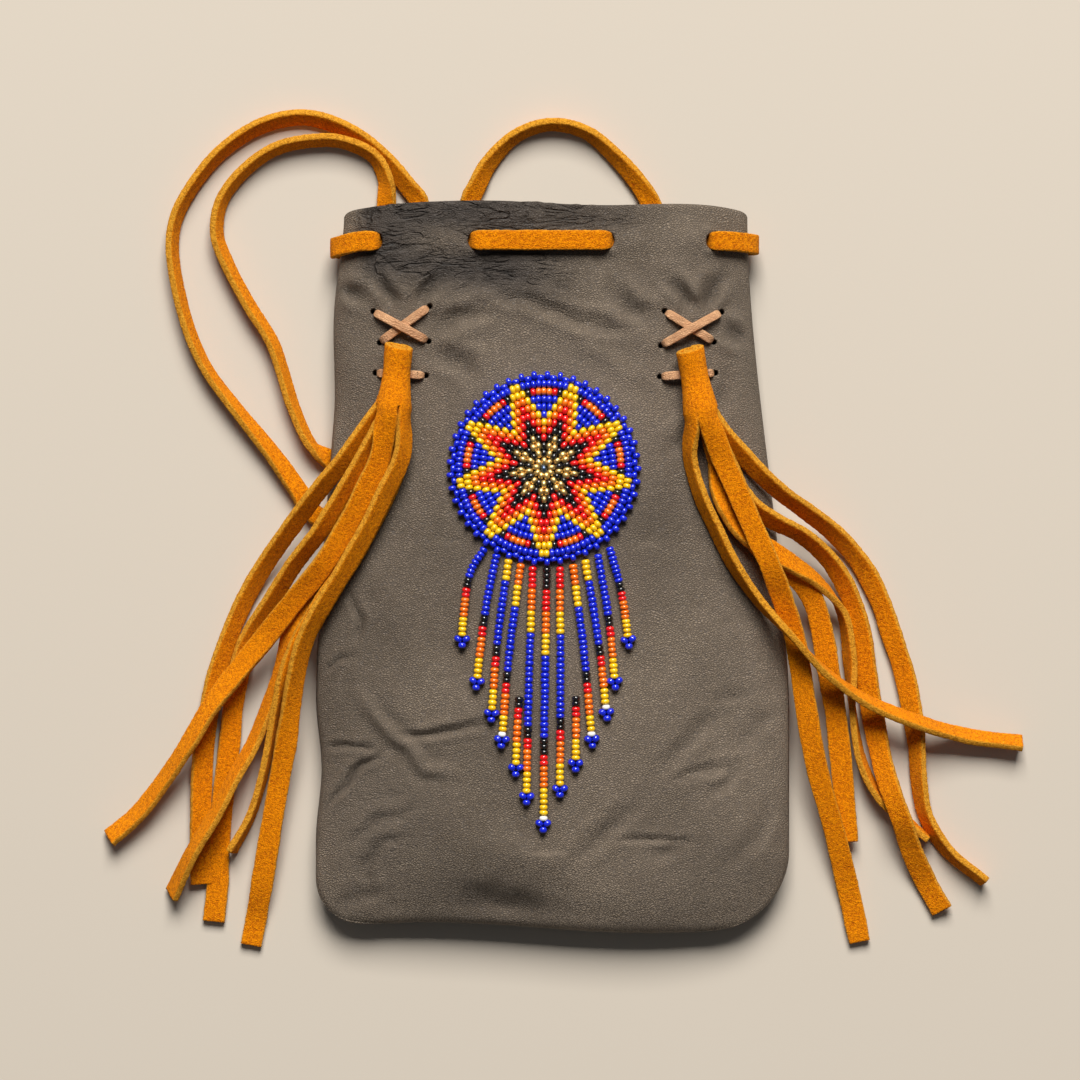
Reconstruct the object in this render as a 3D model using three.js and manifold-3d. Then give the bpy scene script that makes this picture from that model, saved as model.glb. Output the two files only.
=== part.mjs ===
// Beaded phone pouch, in millimetres: it lies on its back on the table (z = 0), beaded front up,
// mouth toward +Y, and the origin is on the table under its middle.
import * as THREE from "three";
import { mergeVertices } from "three/addons/utils/BufferGeometryUtils.js";
import Module from "manifold-3d";

const { clamp, lerp, smoothstep, degToRad } = THREE.MathUtils;

// Pouch
const LENGTH = 203;
const MOUTH_WIDTH = 113;
const MOUTH_SHIFT = 1.9;
const BASE_WIDTH = 132.6;
const HIP_HEIGHT = 56.5;
const LEFT_CORNER = 14;
const RIGHT_CORNER = 21;
const LEATHER = 1.4;
const CLEARANCE = 0.3;
const SEAM_HEIGHT = 7.5;
const FRONT_RISE = 10.7;
const FRONT_ROLL = 45;
const BACK_FLAT = 26;
const BACK_ROLL = 30;
const BACK_RIM = 3.4;
const MOUTH_DROP = 2.8;
const LEFT_BULGE = 2;
const BULGE_FROM_MOUTH = 29.5;
const BULGE_REACH = 30;
const LEFT_TUCK = 1.6;
const TUCK_UNDER_HIP = 12;
const TUCK_REACH = 20;
const BOTTOM_WAVE = 1.5;
const WAVE_LENGTH = 125;
const WAVE_PLACE = 27;
const FOLD_RISE = 0.8;
const MOUTH_FOLD = 0.7;

// Suede laces and thongs
const LACE_WIDTH = 5.5;
const THONG_WIDTH = 6;
const LACE_THICKNESS = 2.4;
const LACE_FROM_MOUTH = 11.2;
const LACE_STEP = 9;
const SLACK = 0.5;
const SLOT_REACH = 3.4;
const SLOT_SPARE = 0.8;
const SLOT_RUN = 5;
const DIP_RUN = 0.9;
const DIP_FALL = 1.8;
const STRAP_SLOT_FROM_MOUTH = 20;
const STRAP_TUCK = 9.5;
const BIGHT_Y = 20.5;
const SHOULDER = 8;
const DRAPE_RUN = 30;

// Tan ties
const TIE_WIDTH = 2.4;
const TIE_THICKNESS = 1.2;
const TIE_INSET = 1;
const TIE_TAIL = 6;
const TIE_CROSS_LIFT = 1.44;
const TIE_HOLE = 4.2;
const TIE_HOLE_SPARE = 1.6;
const TIE_HOLE_SHIFT = 0.25;
const BAR_LIFT = 2.1;
const BAR_SHARES = [0.2, 0.84];

// Tassel heads
const HEAD_TOP_RADIUS = 4;
const HEAD_FOOT_RADIUS = 5.1;
const HEAD_LAP = 1.3;
const HEAD_SIDES = 16;
const THONG_ROOT = 0.72;
const THONG_SPREAD = 0.5;
const SLIT_WIDER = 1.1;
const SLIT_DEEPER = 0.8;

// Beadwork
const ROSETTE_X = -2.4;
const ROSETTE_Y = 26.9;
const ROWS = 11;
const ARMS = 9;
const ROW_PITCH = 2.14;
const BACKING = 0.9;
const BEAD_RISE = 1;
const EDGING_WIDTH = 1.95;
const EDGING_HEIGHT = 1.7;
const EDGING_STEPS = 60;
const EDGING_PINCH = 0.55;
const PINCHED_HEIGHT = 0.6;
const BEAD_RADIUS = 1.1;
const BEAD_PITCH = 1.5;
const BUMP_BEADS = 2;
const THREAD_RADIUS = 0.6;
const TREFOIL_RADIUS = 1.75;

// Places that follow from the sizes
const MOUTH_Y = LENGTH / 2;
const BOTTOM_Y = -LENGTH / 2;
const HIP_Y = BOTTOM_Y + HIP_HEIGHT;
const MOUTH_LIFT = LACE_THICKNESS + 3 * CLEARANCE;
const LACE_Y = MOUTH_Y - LACE_FROM_MOUTH;
const STRAP_SLOT_Y = MOUTH_Y - STRAP_SLOT_FROM_MOUTH;
const UP = new THREE.Vector3(0, 0, 1);
const DOWN = new THREE.Vector3(0, 0, -1);

const wasm = await Module();
wasm.setup();

// A geometry as a solid for cutting and joining.
function solid(geometry) {
  const bare = new THREE.BufferGeometry();
  bare.setAttribute("position", geometry.getAttribute("position"));
  bare.setIndex(geometry.index);
  const merged = mergeVertices(bare, 1e-4);
  return new wasm.Manifold(
    new wasm.Mesh({
      numProp: 3,
      vertProperties: new Float32Array(merged.getAttribute("position").array),
      triVerts: new Uint32Array(merged.index.array),
    }),
  );
}

// A solid as a geometry.
function geometryOf(body) {
  const mesh = body.getMesh();
  const geometry = new THREE.BufferGeometry();
  geometry.setAttribute("position", new THREE.BufferAttribute(mesh.vertProperties, 3));
  geometry.setIndex(new THREE.BufferAttribute(mesh.triVerts, 1));
  geometry.computeVertexNormals();
  return geometry;
}

// Moves each point of a geometry by a rule.
function warp(geometry, rule) {
  const places = geometry.getAttribute("position");
  const point = new THREE.Vector3();
  for (let i = 0; i < places.count; i += 1) {
    point.fromBufferAttribute(places, i);
    rule(point);
    places.setXYZ(i, point.x, point.y, point.z);
  }
  geometry.deleteAttribute("normal");
  geometry.deleteAttribute("uv");
  return mergeVertices(geometry, 1e-4);
}

// A smooth hump of height 1 at a middle, gone at its reach.
const hump = (at, middle, reach) => 1 - smoothstep(Math.abs(at - middle), 0, reach);

// Half the pouch's width at y, on the left (side -1) or the right (side 1).
function halfWidth(y, side, inset = 0) {
  const grown = smoothstep(-y, -MOUTH_Y, -HIP_Y);
  const mouthHalf = MOUTH_WIDTH / 2 - side * MOUTH_SHIFT;
  const corner = (side < 0 ? LEFT_CORNER : RIGHT_CORNER) - inset;
  const below = BOTTOM_Y + inset + corner - y;
  const tuck = below > 0 ? corner - Math.sqrt(Math.max(0, corner ** 2 - below ** 2)) : 0;
  const full = LEFT_BULGE * hump(y, MOUTH_Y - BULGE_FROM_MOUTH, BULGE_REACH);
  const bulge = full - LEFT_TUCK * hump(y, HIP_Y - TUCK_UNDER_HIP, TUCK_REACH);
  return lerp(mouthHalf, BASE_WIDTH / 2, grown) + (side < 0 ? bulge : 0) - tuck - inset;
}

const edgeX = (y, side) => side * halfWidth(y, side);
const dome = (q) => (1 - Math.min(1, q) ** 2.6) ** 0.45;

// Soft folds of the front: two slanting ridges at the lower sides and a slack valley under the mouth.
function folds(x, y) {
  const left = hump(x + 0.5 * y, -51, 9) * hump(y, -15, 40);
  const right = hump(x - 0.4 * y, 49, 9) * hump(y, -22, 36);
  const mouth = hump(y + 0.12 * x, 78, 5) * hump(x, -18, 26);
  return FOLD_RISE * (left + right) - MOUTH_FOLD * mouth;
}

// Height of the front's outer face, or of its inner face with the leather as inset.
function frontHeight(x, y, inset = 0) {
  const across = Math.abs(x) / halfWidth(y, x < 0 ? -1 : 1, inset);
  const down = clamp(1 - (y - BOTTOM_Y - inset) / FRONT_ROLL, 0, 1);
  const rise = FRONT_RISE - inset + folds(x, y);
  return SEAM_HEIGHT + CLEARANCE / 2 + rise * dome(across) * dome(down);
}

// Height of the back's face toward the table, or of its inner face.
function backHeight(x, y, inner = false) {
  const inset = inner ? BACK_RIM : 0;
  const half = halfWidth(y, x < 0 ? -1 : 1, inset);
  const base = MOUTH_LIFT * smoothstep(y, LACE_Y - 38, LACE_Y - 14) + (inner ? LEATHER : 0);
  const across = clamp((Math.abs(x) - BACK_FLAT) / (half - BACK_FLAT), 0, 1) ** 2;
  const down = clamp(1 - (y - BOTTOM_Y - inset) / BACK_ROLL, 0, 1) ** 2;
  return base + (SEAM_HEIGHT - CLEARANCE / 2 - base) * (1 - (1 - across) * (1 - down));
}

// Height of what hangs over the pouch's side edge: it leaves the front at a shoulder and falls to the table.
function drapeHeight(x, y) {
  const side = x < 0 ? -1 : 1;
  const shoulder = halfWidth(y, side) - SHOULDER;
  const past = Math.abs(x) - shoulder;
  if (past <= 0) return frontHeight(x, y);
  return frontHeight(side * shoulder, y) * (1 - smoothstep(past, 0, DRAPE_RUN));
}

// What a strip lies on (side 1) or under (side -1).
const ON_FRONT = { height: frontHeight, side: 1 };
const IN_FRONT = { height: (x, y) => frontHeight(x, y, LEATHER) - SLACK, side: -1 };
const IN_BACK = { height: (x, y) => backHeight(x, y, true), side: 1 };
const ON_TABLE = { height: () => 0, side: 1 };
const DRAPED = { height: drapeHeight, side: 1 };

// Panels: a slab of leather bent to its faces.
function panel(columns, rows, faces) {
  return warp(new THREE.BoxGeometry(2, 1, 1, columns, rows, 1), (point) => {
    const across = Math.sin((point.x * Math.PI) / 2);
    const share = 1 - Math.cos(((point.y + 0.5) * Math.PI) / 2);
    const side = across < 0 ? -1 : 1;
    const { inset, height } = faces(point.z > 0);
    const y = lerp(BOTTOM_Y + inset, MOUTH_Y, share);
    const x = across * halfWidth(y, side, inset);
    const wave = -BOTTOM_WAVE * Math.cos((2 * Math.PI * (x - WAVE_PLACE)) / WAVE_LENGTH) * (1 - share);
    const drop = MOUTH_DROP * across ** 4 * share ** 4;
    point.set(x, y + wave - drop, height(x, y));
  });
}

// A cutter that goes straight through the leather, long along its heading.
function slot(x, y, length, width, heading = 0) {
  const round = 0.12 * width;
  const shape = new THREE.Shape();
  shape.moveTo(-length / 2 + round, -width / 2);
  shape.lineTo(length / 2 - round, -width / 2);
  shape.quadraticCurveTo(length / 2, -width / 2, length / 2, -width / 2 + round);
  shape.lineTo(length / 2, width / 2 - round);
  shape.quadraticCurveTo(length / 2, width / 2, length / 2 - round, width / 2);
  shape.lineTo(-length / 2 + round, width / 2);
  shape.quadraticCurveTo(-length / 2, width / 2, -length / 2, width / 2 - round);
  shape.lineTo(-length / 2, -width / 2 + round);
  shape.quadraticCurveTo(-length / 2, -width / 2, -length / 2 + round, -width / 2);
  const cutter = new THREE.ExtrudeGeometry(shape, { depth: 40, bevelEnabled: false, curveSegments: 1 });
  cutter.rotateZ(heading);
  cutter.translate(x, y, -10);
  return solid(cutter);
}

// The path of a flat strip: a smooth curve through its stations, with the way its face looks at each.
class StripPath extends THREE.CatmullRomCurve3 {
  constructor(stations) {
    super(stations.map((station) => station.at), false, "centripetal");
    this.faces = stations.map((station) => station.face);
    this.marks = [0];
    const spans = stations.length - 1;
    for (let span = 0; span < spans; span += 1) {
      const reach = this.points[span].distanceTo(this.points[span + 1]);
      const steps = Math.max(1, Math.round(reach / LACE_STEP));
      for (let step = 1; step <= steps; step += 1) this.marks.push((span + step / steps) / spans);
    }
  }

  getSpacedPoints() {
    return this.marks.map((mark) => this.getPoint(mark));
  }

  computeFrenetFrames() {
    const spans = this.points.length - 1;
    const tangents = this.marks.map((mark) => this.getTangent(mark));
    const normals = this.marks.map((mark, i) => {
      const span = Math.min(spans - 1, Math.floor(mark * spans + 1e-9));
      const face = this.faces[span].clone().lerp(this.faces[span + 1], mark * spans - span);
      return face.projectOnPlane(tangents[i]).normalize();
    });
    const binormals = normals.map((normal, i) => tangents[i].clone().cross(normal));
    return { tangents, normals, binormals };
  }
}

// A strip of leather along a path.
function strip(stations, width, thickness) {
  const shape = new THREE.Shape();
  shape.moveTo(-thickness / 2, -width / 2);
  shape.lineTo(thickness / 2, -width / 2);
  shape.lineTo(thickness / 2, width / 2);
  shape.lineTo(-thickness / 2, width / 2);
  const path = new StripPath(stations);
  return new THREE.ExtrudeGeometry(shape, { steps: path.marks.length - 1, extrudePath: path });
}

// The height at which a strip just clears what it lies on or under.
function seat(stop, right, width, thickness) {
  const { height, side } = stop.on;
  const turn = degToRad(stop.tilt ?? 0);
  const heights = [];
  for (const face of [-thickness / 2, thickness / 2]) {
    for (const edge of [-width / 2, 0, width / 2]) {
      const out = face * Math.sin(turn) + edge * Math.cos(turn);
      const up = face * Math.cos(turn) - edge * Math.sin(turn);
      heights.push(height(stop.x + out * right.x, stop.y + out * right.y) - up);
    }
  }
  const touch = side > 0 ? Math.max(...heights) : Math.min(...heights);
  return touch + side * CLEARANCE + (stop.lift ?? 0);
}

// Stations of a strip from its stops. A stop has a height and a face of its own, or else lies on a surface
// with its face tilted from straight up toward the right of the way it runs.
function lay(stops, width, thickness) {
  return stops.map((stop, i) => {
    const before = stops[Math.max(0, i - 1)];
    const after = stops[Math.min(stops.length - 1, i + 1)];
    const right = new THREE.Vector3(after.y - before.y, before.x - after.x, 0).normalize();
    const turn = degToRad(stop.tilt ?? 0);
    const tilted = UP.clone().multiplyScalar(Math.cos(turn)).addScaledVector(right, Math.sin(turn));
    const z = stop.z ?? seat(stop, right, width, thickness);
    return { at: new THREE.Vector3(stop.x, stop.y, z), face: stop.face ?? tilted };
  });
}

const stops = (on, tilt, points) => points.map(([x, y, lift]) => ({ x, y, on, tilt, lift }));

// Mid-height of the leather of the front and the back.
const frontMiddle = (x, y) => (frontHeight(x, y) + frontHeight(x, y, LEATHER)) / 2;
const backMiddle = (x, y) => (backHeight(x, y) + backHeight(x, y, true)) / 2;

// Two stops where a lace dips through the leather along (dx, dy), from the side above (drop 1) or below (-1).
function dip(x, y, dx, dy, drop, middle, face) {
  return [-1, 1].map((end) => ({
    x: x + end * DIP_RUN * dx,
    y: y + end * DIP_RUN * dy,
    z: middle(x, y) - end * drop * DIP_FALL,
    face,
  }));
}

// Lacing holes in the front and slots in the back
const FRONT_HOLES = [-48.9, -22, 15.6, 44.3];
const DRAWSTRING_ENDS = [30.4, 29.6];
const BACK_HOLES = [-51, -31];
const STRAP_HOLES = [-46.9, -37.1];

// Stops of the drawstring round a side edge, from the front to the back.
function wrapStops(side) {
  const edge = edgeX(LACE_Y, side);
  const out = new THREE.Vector3(side, 0, 0);
  const at = (inward, z, face) => ({ x: edge - side * inward, y: LACE_Y, z, face });
  return [
    at(5.9, frontHeight(edge - side * 5.9, LACE_Y) + 1.7, UP),
    at(2.1, SEAM_HEIGHT + 5.9, out.clone().add(UP)),
    at(-0.9, SEAM_HEIGHT + 3.3, out),
    at(-2.1, SEAM_HEIGHT, out),
    at(-1.2, SEAM_HEIGHT - 2.9, out),
    at(1.9, 2.4, out.clone().add(DOWN)),
    at(5.9, 1.5, DOWN),
  ];
}

// The drawstring, from its right end inside the mouth to its left end there.
function drawstringStops() {
  const [first, second, third, fourth] = FRONT_HOLES;
  const [outer, inner] = BACK_HOLES;
  const inFront = (x) => ({ x, y: LACE_Y, on: IN_FRONT });
  const onFront = (x) => ({ x, y: LACE_Y, on: ON_FRONT });
  const inBack = (x) => ({ x, y: LACE_Y, on: IN_BACK, tilt: 180 });
  const arch = [
    [33, MOUTH_Y - 10.3, 180],
    [29.5, MOUTH_Y - 6.5, 180],
    [28.2, MOUTH_Y - 0.8, 180],
    [25.2, MOUTH_Y + 4.6, 172],
    [18.2, MOUTH_Y + 12.9, 130],
    [9.4, MOUTH_Y + 20.2, 112],
    [-0.7, MOUTH_Y + 22.4, 108],
    [-10.2, MOUTH_Y + 19.2, 112],
    [-18, MOUTH_Y + 11.3, 130],
    [-21.4, MOUTH_Y + 4.8, 172],
    [-23.1, MOUTH_Y + 1.2, 180],
    [-22.6, MOUTH_Y - 2.5, 180],
    [-23.2, MOUTH_Y - 7.5, 180],
    [-26, MOUTH_Y - 10.7, 180],
  ].map(([x, y, tilt]) => ({ x, y, on: ON_TABLE, tilt }));
  return [
    inFront(DRAWSTRING_ENDS[0]),
    inFront(fourth - SLOT_RUN),
    ...dip(fourth, LACE_Y, 1, 0, -1, frontMiddle, UP),
    ...wrapStops(1),
    { x: 39, y: LACE_Y, on: ON_TABLE, tilt: 180 },
    ...arch,
    ...dip(inner, LACE_Y, -1, 0, -1, backMiddle, DOWN),
    inBack(inner - SLOT_RUN),
    inBack(outer + SLOT_RUN),
    ...dip(outer, LACE_Y, -1, 0, 1, backMiddle, DOWN),
    ...wrapStops(-1).reverse(),
    ...dip(first, LACE_Y, 1, 0, 1, frontMiddle, UP),
    inFront(first + SLOT_RUN),
    inFront((first + second) / 2),
    inFront(second - SLOT_RUN),
    ...dip(second, LACE_Y, 1, 0, -1, frontMiddle, UP),
    onFront(second + SLOT_RUN),
    onFront((second + third) / 2),
    onFront(third - SLOT_RUN),
    ...dip(third, LACE_Y, 1, 0, 1, frontMiddle, UP),
    inFront(third + SLOT_RUN),
    inFront(DRAWSTRING_ENDS[1]),
  ];
}

// The carry strap: out of the back, round the loop, under the left edge and home again.
function strapStops() {
  const [first, second] = STRAP_HOLES;
  const foot = (x, heading) => {
    const inside = { x, y: STRAP_SLOT_Y - SLOT_RUN, on: IN_BACK, tilt: 180 };
    const end = { x, y: STRAP_SLOT_Y - STRAP_TUCK, on: IN_BACK, tilt: 180 };
    const out = { x, y: STRAP_SLOT_Y + SLOT_RUN, on: ON_TABLE, tilt: 180 };
    const list = [end, inside, ...dip(x, STRAP_SLOT_Y, 0, 1, 1, backMiddle, DOWN), out];
    return heading > 0 ? list : list.reverse();
  };
  const bightX = edgeX(BIGHT_Y, -1);
  const inner = [
    [-46.9, 95, 180],
    [-46.9, 101.5, 178],
    [-47.2, 108, 150],
    [-51.5, 114.5, 116],
    [-58.5, 118.6, 110],
    [-65.7, 119.5, 110],
    [-77.5, 117.2, 110],
    [-86.7, 110.8, 110],
    [-93.1, 102.1, 110],
    [-94.3, 92.9, 112],
    [-91.5, 85, 114],
    [-85.3, 73.2, 114],
    [-78.9, 62.9, 114],
    [-76.1, 55, 114],
    [-72.7, 44.1, 120],
    [-67.1, 32.9, 150],
  ];
  const bight = [
    [bightX + 2.5, BIGHT_Y + 8.2, 178],
    [bightX + 7.8, BIGHT_Y + 5.8, 180],
    [bightX + 10, BIGHT_Y, 180],
    [bightX + 7.2, BIGHT_Y - 6.6, 180],
    [bightX + 1.5, BIGHT_Y - 8.2, 182],
  ];
  const outer = [
    [-67.5, 14.8, 184],
    [-71.5, 21, 195],
    [-78.9, 31.5, 215],
    [-88.4, 43.3, 235],
    [-97.1, 55, 245],
    [-101.8, 65.1, 250],
    [-105.2, 77.2, 250],
    [-106.9, 88.9, 250],
    [-106, 96.8, 250],
    [-102.4, 104.6, 250],
    [-93.1, 116.4, 248],
    [-81.4, 124.2, 246],
    [-69.6, 126.8, 244],
    [-57.6, 123.7, 236],
    [-47.5, 116.6, 215],
    [-37.6, 102.1, 182],
    [-37.1, 95, 180],
  ];
  const onTable = ([x, y, tilt]) => ({ x, y, on: ON_TABLE, tilt });
  return [
    ...foot(first, 1),
    ...[...inner, ...bight, ...outer].map(onTable),
    ...foot(second, -1),
  ];
}

// Ties: the holes in the order in which the lace visits them. The lace shows on the front after each
// odd hole and runs inside after each even one.
const TIES = {
  left: {
    holes: [[-48.2, 62], [-34.2, 72], [-50, 70.7], [-34.5, 62.3], [-35.2, 52.8], [-49.4, 53.6]],
    head: [[-42.5, 61.1], [-43.6, 44.1]],
  },
  right: {
    holes: [[45, 62.2], [31.1, 70.7], [47.1, 70.6], [30.1, 61.1], [29.8, 52.5], [45.4, 53.6]],
    head: [[38, 60.1], [41.3, 43]],
  },
};

// The places where a tie bends through its holes, and the way from each along the stretch that shows.
function tieTurns(holes) {
  const centres = holes.map(([x, y]) => new THREE.Vector3(x, y, 0));
  const inwards = centres.map((centre, i) => centres[i + (i % 2 ? -1 : 1)].clone().sub(centre).normalize());
  const points = centres.map((centre, i) => centre.clone().addScaledVector(inwards[i], TIE_INSET));
  return { points, inwards };
}

const tieBend = LEATHER / 2 + CLEARANCE + TIE_THICKNESS / 2;

// Stops of a tie: it bends through each hole round the leather's edge.
function tieStops({ holes }) {
  const { points, inwards } = tieTurns(holes);
  const under = (i, reach) => points[i].clone().addScaledVector(inwards[i], reach);
  const inside = ({ x, y }) => ({ x, y, on: IN_FRONT, tilt: 180 });
  const list = [inside(under(0, TIE_TAIL))];
  points.forEach((point, i) => {
    const rising = i % 2 === 0 ? 1 : -1;
    for (const turn of [-90, -45, 0, 45, 90]) {
      const swing = degToRad(turn);
      const foot = under(i, tieBend * (1 - Math.cos(swing)));
      const up = rising * Math.sin(swing);
      const face = inwards[i].clone().multiplyScalar(-Math.cos(swing)).addScaledVector(UP, up);
      list.push({ x: foot.x, y: foot.y, z: frontMiddle(foot.x, foot.y) + tieBend * up, face });
    }
    if (i === points.length - 1) return;
    const half = point.clone().lerp(points[i + 1], 0.5);
    if (i === 4) list.push(...barStops(holes));
    else if (rising > 0) list.push({ x: half.x, y: half.y, on: ON_FRONT, lift: i === 2 ? TIE_CROSS_LIFT : 0 });
    else list.push(inside(under(i, TIE_TAIL - 2).lerp(under(i + 1, TIE_TAIL - 2), 0.5)));
  });
  list.push(inside(under(points.length - 1, TIE_TAIL)));
  return list;
}

// Stops of a tie's bar where it goes through the tassel's head, by their share of the bar.
function barStops(holes) {
  const [from, to] = holes.slice(4);
  return BAR_SHARES.map((share) => {
    const x = lerp(from[0], to[0], share);
    const y = lerp(from[1], to[1], share);
    return { x, y, z: frontHeight(x, y) + BAR_LIFT, face: UP };
  });
}

// Tassels: the thongs of each, from the head outward, with the tilt of the face and lifts where they cross.
const THONGS = {
  left: [
    {
      tilt: -50,
      points: [
        [-48.9, 43.2], [-63.7, 25.4], [-74.4, 11.3], [-85.3, -3.5], [-91.7, -17.5],
        [-96.4, -31], [-98.6, -42], [-100.1, -60], [-100.1, -81.7], [-98.7, -89.8],
      ],
    },
    {
      tilt: -56,
      points: [
        [-48.2, 39.4], [-57.4, 22.3], [-66.9, 6], [-77.5, -6.9], [-85, -18],
        [-88.4, -27], [-90.1, -38.8], [-92.3, -51.7], [-94, -66], [-94.8, -81.7], [-95.4, -100.4],
      ],
    },
    {
      tilt: -22,
      points: [
        [-46, 39.5], [-49.7, 29.8], [-58.4, 11.3], [-70.2, -5.7, 1], [-84.2, -21.7, 6.5],
        [-97.1, -41, 6.5], [-110.8, -60.4, 2], [-125.4, -77.5],
      ],
    },
    {
      tilt: -48,
      points: [
        [-42.5, 38], [-42.3, 30.7], [-47.8, 16.9], [-57.3, 0.7], [-66, -12.2],
        [-71.3, -21], [-73.8, -34.6], [-76.6, -55], [-79.7, -76.3], [-84.7, -106.9],
      ],
    },
    {
      tilt: -80,
      points: [
        [-45.5, 38], [-51, 22], [-62, 2], [-72.4, -16.4, 1.5], [-76.5, -29], [-81.5, -42, 1],
        [-89.5, -57, 5], [-98.2, -73, 5.5], [-107.1, -92.9],
      ],
    },
    {
      tilt: -15,
      points: [
        [-44, 38], [-48.5, 22], [-60, 2], [-70.5, -18], [-76.6, -38.8], [-80.8, -55],
        [-85.3, -69], [-90.1, -80.3],
      ],
    },
  ],
  right: [
    {
      tilt: 50,
      points: [
        [46.5, 40.5], [52, 32.5], [60.1, 24.2], [71.8, 17], [81.4, 8.3], [89.8, -3.5], [95.7, -16.4],
        [100.1, -29.3], [102.7, -41], [102.4, -53.1], [102.7, -64.8], [107.4, -75.5], [121.7, -89.2],
      ],
    },
    {
      tilt: 45,
      points: [
        [47, 35.4], [54.8, 21.4], [66, 11.9], [77.7, 3.5], [85, -8.3], [88.4, -20], [90, -31.8],
        [92, -43.6], [94.3, -59, 1.5], [99, -71, 3], [106, -88.4], [111.3, -97.3],
      ],
    },
    {
      tilt: 25,
      points: [
        [43, 38], [48.3, 27.3], [55.3, 11, 2.6], [61.5, -1, 2], [66.5, -12.7], [68.5, -25.9],
        [70.7, -41], [74.4, -57.6], [79.1, -74.1], [83.9, -93.1], [86.7, -106],
      ],
    },
    {
      tilt: 78,
      points: [
        [40, 38], [39.2, 29.6], [42.4, 17.8], [47.8, 4.9], [55.3, -6.9], [66, -18.9, 4],
        [75.5, -29.3, 6.5], [87.3, -38.2, 6.5], [101.5, -44.1, 5.5], [116.7, -48.3, 0.5], [132.1, -50.3],
      ],
    },
    {
      tilt: 20,
      points: [
        [42, 36], [46.1, 17.8], [50.8, 8.3], [57.8, 3.5], [64.8, 1.3], [74.4, -4.6], [81.4, -12.7],
        [84.2, -27], [84.5, -41], [87.3, -55.3], [93.1, -66], [101.5, -73], [105.5, -76.9],
      ],
    },
    {
      tilt: 12,
      points: [
        [44, 38], [50, 20], [58, 5], [68.5, -5.7], [74.4, -15.3], [77.7, -29.3], [80.3, -43.6],
        [81.9, -59], [83.3, -77.7],
      ],
    },
  ],
};

// The rolled head of a tassel: a lapped roll, wider at its foot, lying on the front.
function headSolid([[topX, topY], [footX, footY]]) {
  const roll = new THREE.Shape();
  for (let i = 0; i <= HEAD_SIDES; i += 1) {
    const turn = degToRad(150) + (2 * Math.PI * i) / HEAD_SIDES;
    const radius = 1 - (HEAD_LAP / HEAD_FOOT_RADIUS) * (i / HEAD_SIDES);
    const [x, y] = [radius * Math.cos(turn), radius * Math.sin(turn)];
    if (i === 0) roll.moveTo(x, y);
    else roll.lineTo(x, y);
  }
  const along = new THREE.Vector2(footX - topX, footY - topY).normalize();
  const geometry = new THREE.ExtrudeGeometry(roll, { depth: 1, steps: 3, bevelEnabled: false });
  return warpedSolid(geometry, (point) => {
    const share = point.z;
    const radius = lerp(HEAD_TOP_RADIUS, HEAD_FOOT_RADIUS, share);
    const x = lerp(topX, footX, share);
    const y = lerp(topY, footY, share);
    const z = headAxis(x, y, radius);
    const out = radius * point.x;
    point.set(x - out * along.y, y + out * along.x, z + radius * point.y);
  });
}

// Height of a head's axis, clear of the leather under its whole width.
function headAxis(x, y, radius) {
  const clear = [-0.5, 0, 0.5].map((share) => {
    const out = share * radius;
    return frontHeight(x + out, y) + Math.sqrt(radius ** 2 - out ** 2);
  });
  return Math.max(...clear) + CLEARANCE;
}

const warpedSolid = (geometry, rule) => solid(warp(geometry, rule));

// A tassel: the head, its thongs and the slit for the tie's bar.
function tassel(side) {
  const { head, holes } = TIES[side];
  const [top, foot] = head;
  let body = headSolid(head);
  THONGS[side].forEach(({ tilt, points }, i) => {
    const x = lerp(top[0], foot[0], THONG_ROOT);
    const y = lerp(top[1], foot[1], THONG_ROOT);
    const spread = (i - 2.5) * THONG_SPREAD;
    const root = { x: x + spread, y, z: headAxis(x, y, HEAD_FOOT_RADIUS), face: UP };
    const route = [root, ...stops(DRAPED, tilt, points)];
    body = body.add(solid(strip(lay(route, THONG_WIDTH, LACE_THICKNESS), THONG_WIDTH, LACE_THICKNESS)));
  });
  const bar = lay(barStops(holes), TIE_WIDTH, TIE_THICKNESS);
  const slit = strip(bar, TIE_WIDTH + SLIT_WIDER, TIE_THICKNESS + SLIT_DEEPER);
  return geometryOf(body.subtract(solid(slit)));
}

// Plan place on the rosette at a radius and a turn, on the front's surface plus a height.
function onRosette(radius, turn, height) {
  const x = ROSETTE_X + radius * Math.cos(turn);
  const y = ROSETTE_Y + radius * Math.sin(turn);
  return new THREE.Vector3(x, y, frontHeight(x, y) + CLEARANCE + height);
}

const rowTurn = (row, bead) => degToRad(-90) + (2 * Math.PI * (bead + (row % 2 ? 0.5 : 0))) / (ARMS * row);

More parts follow.
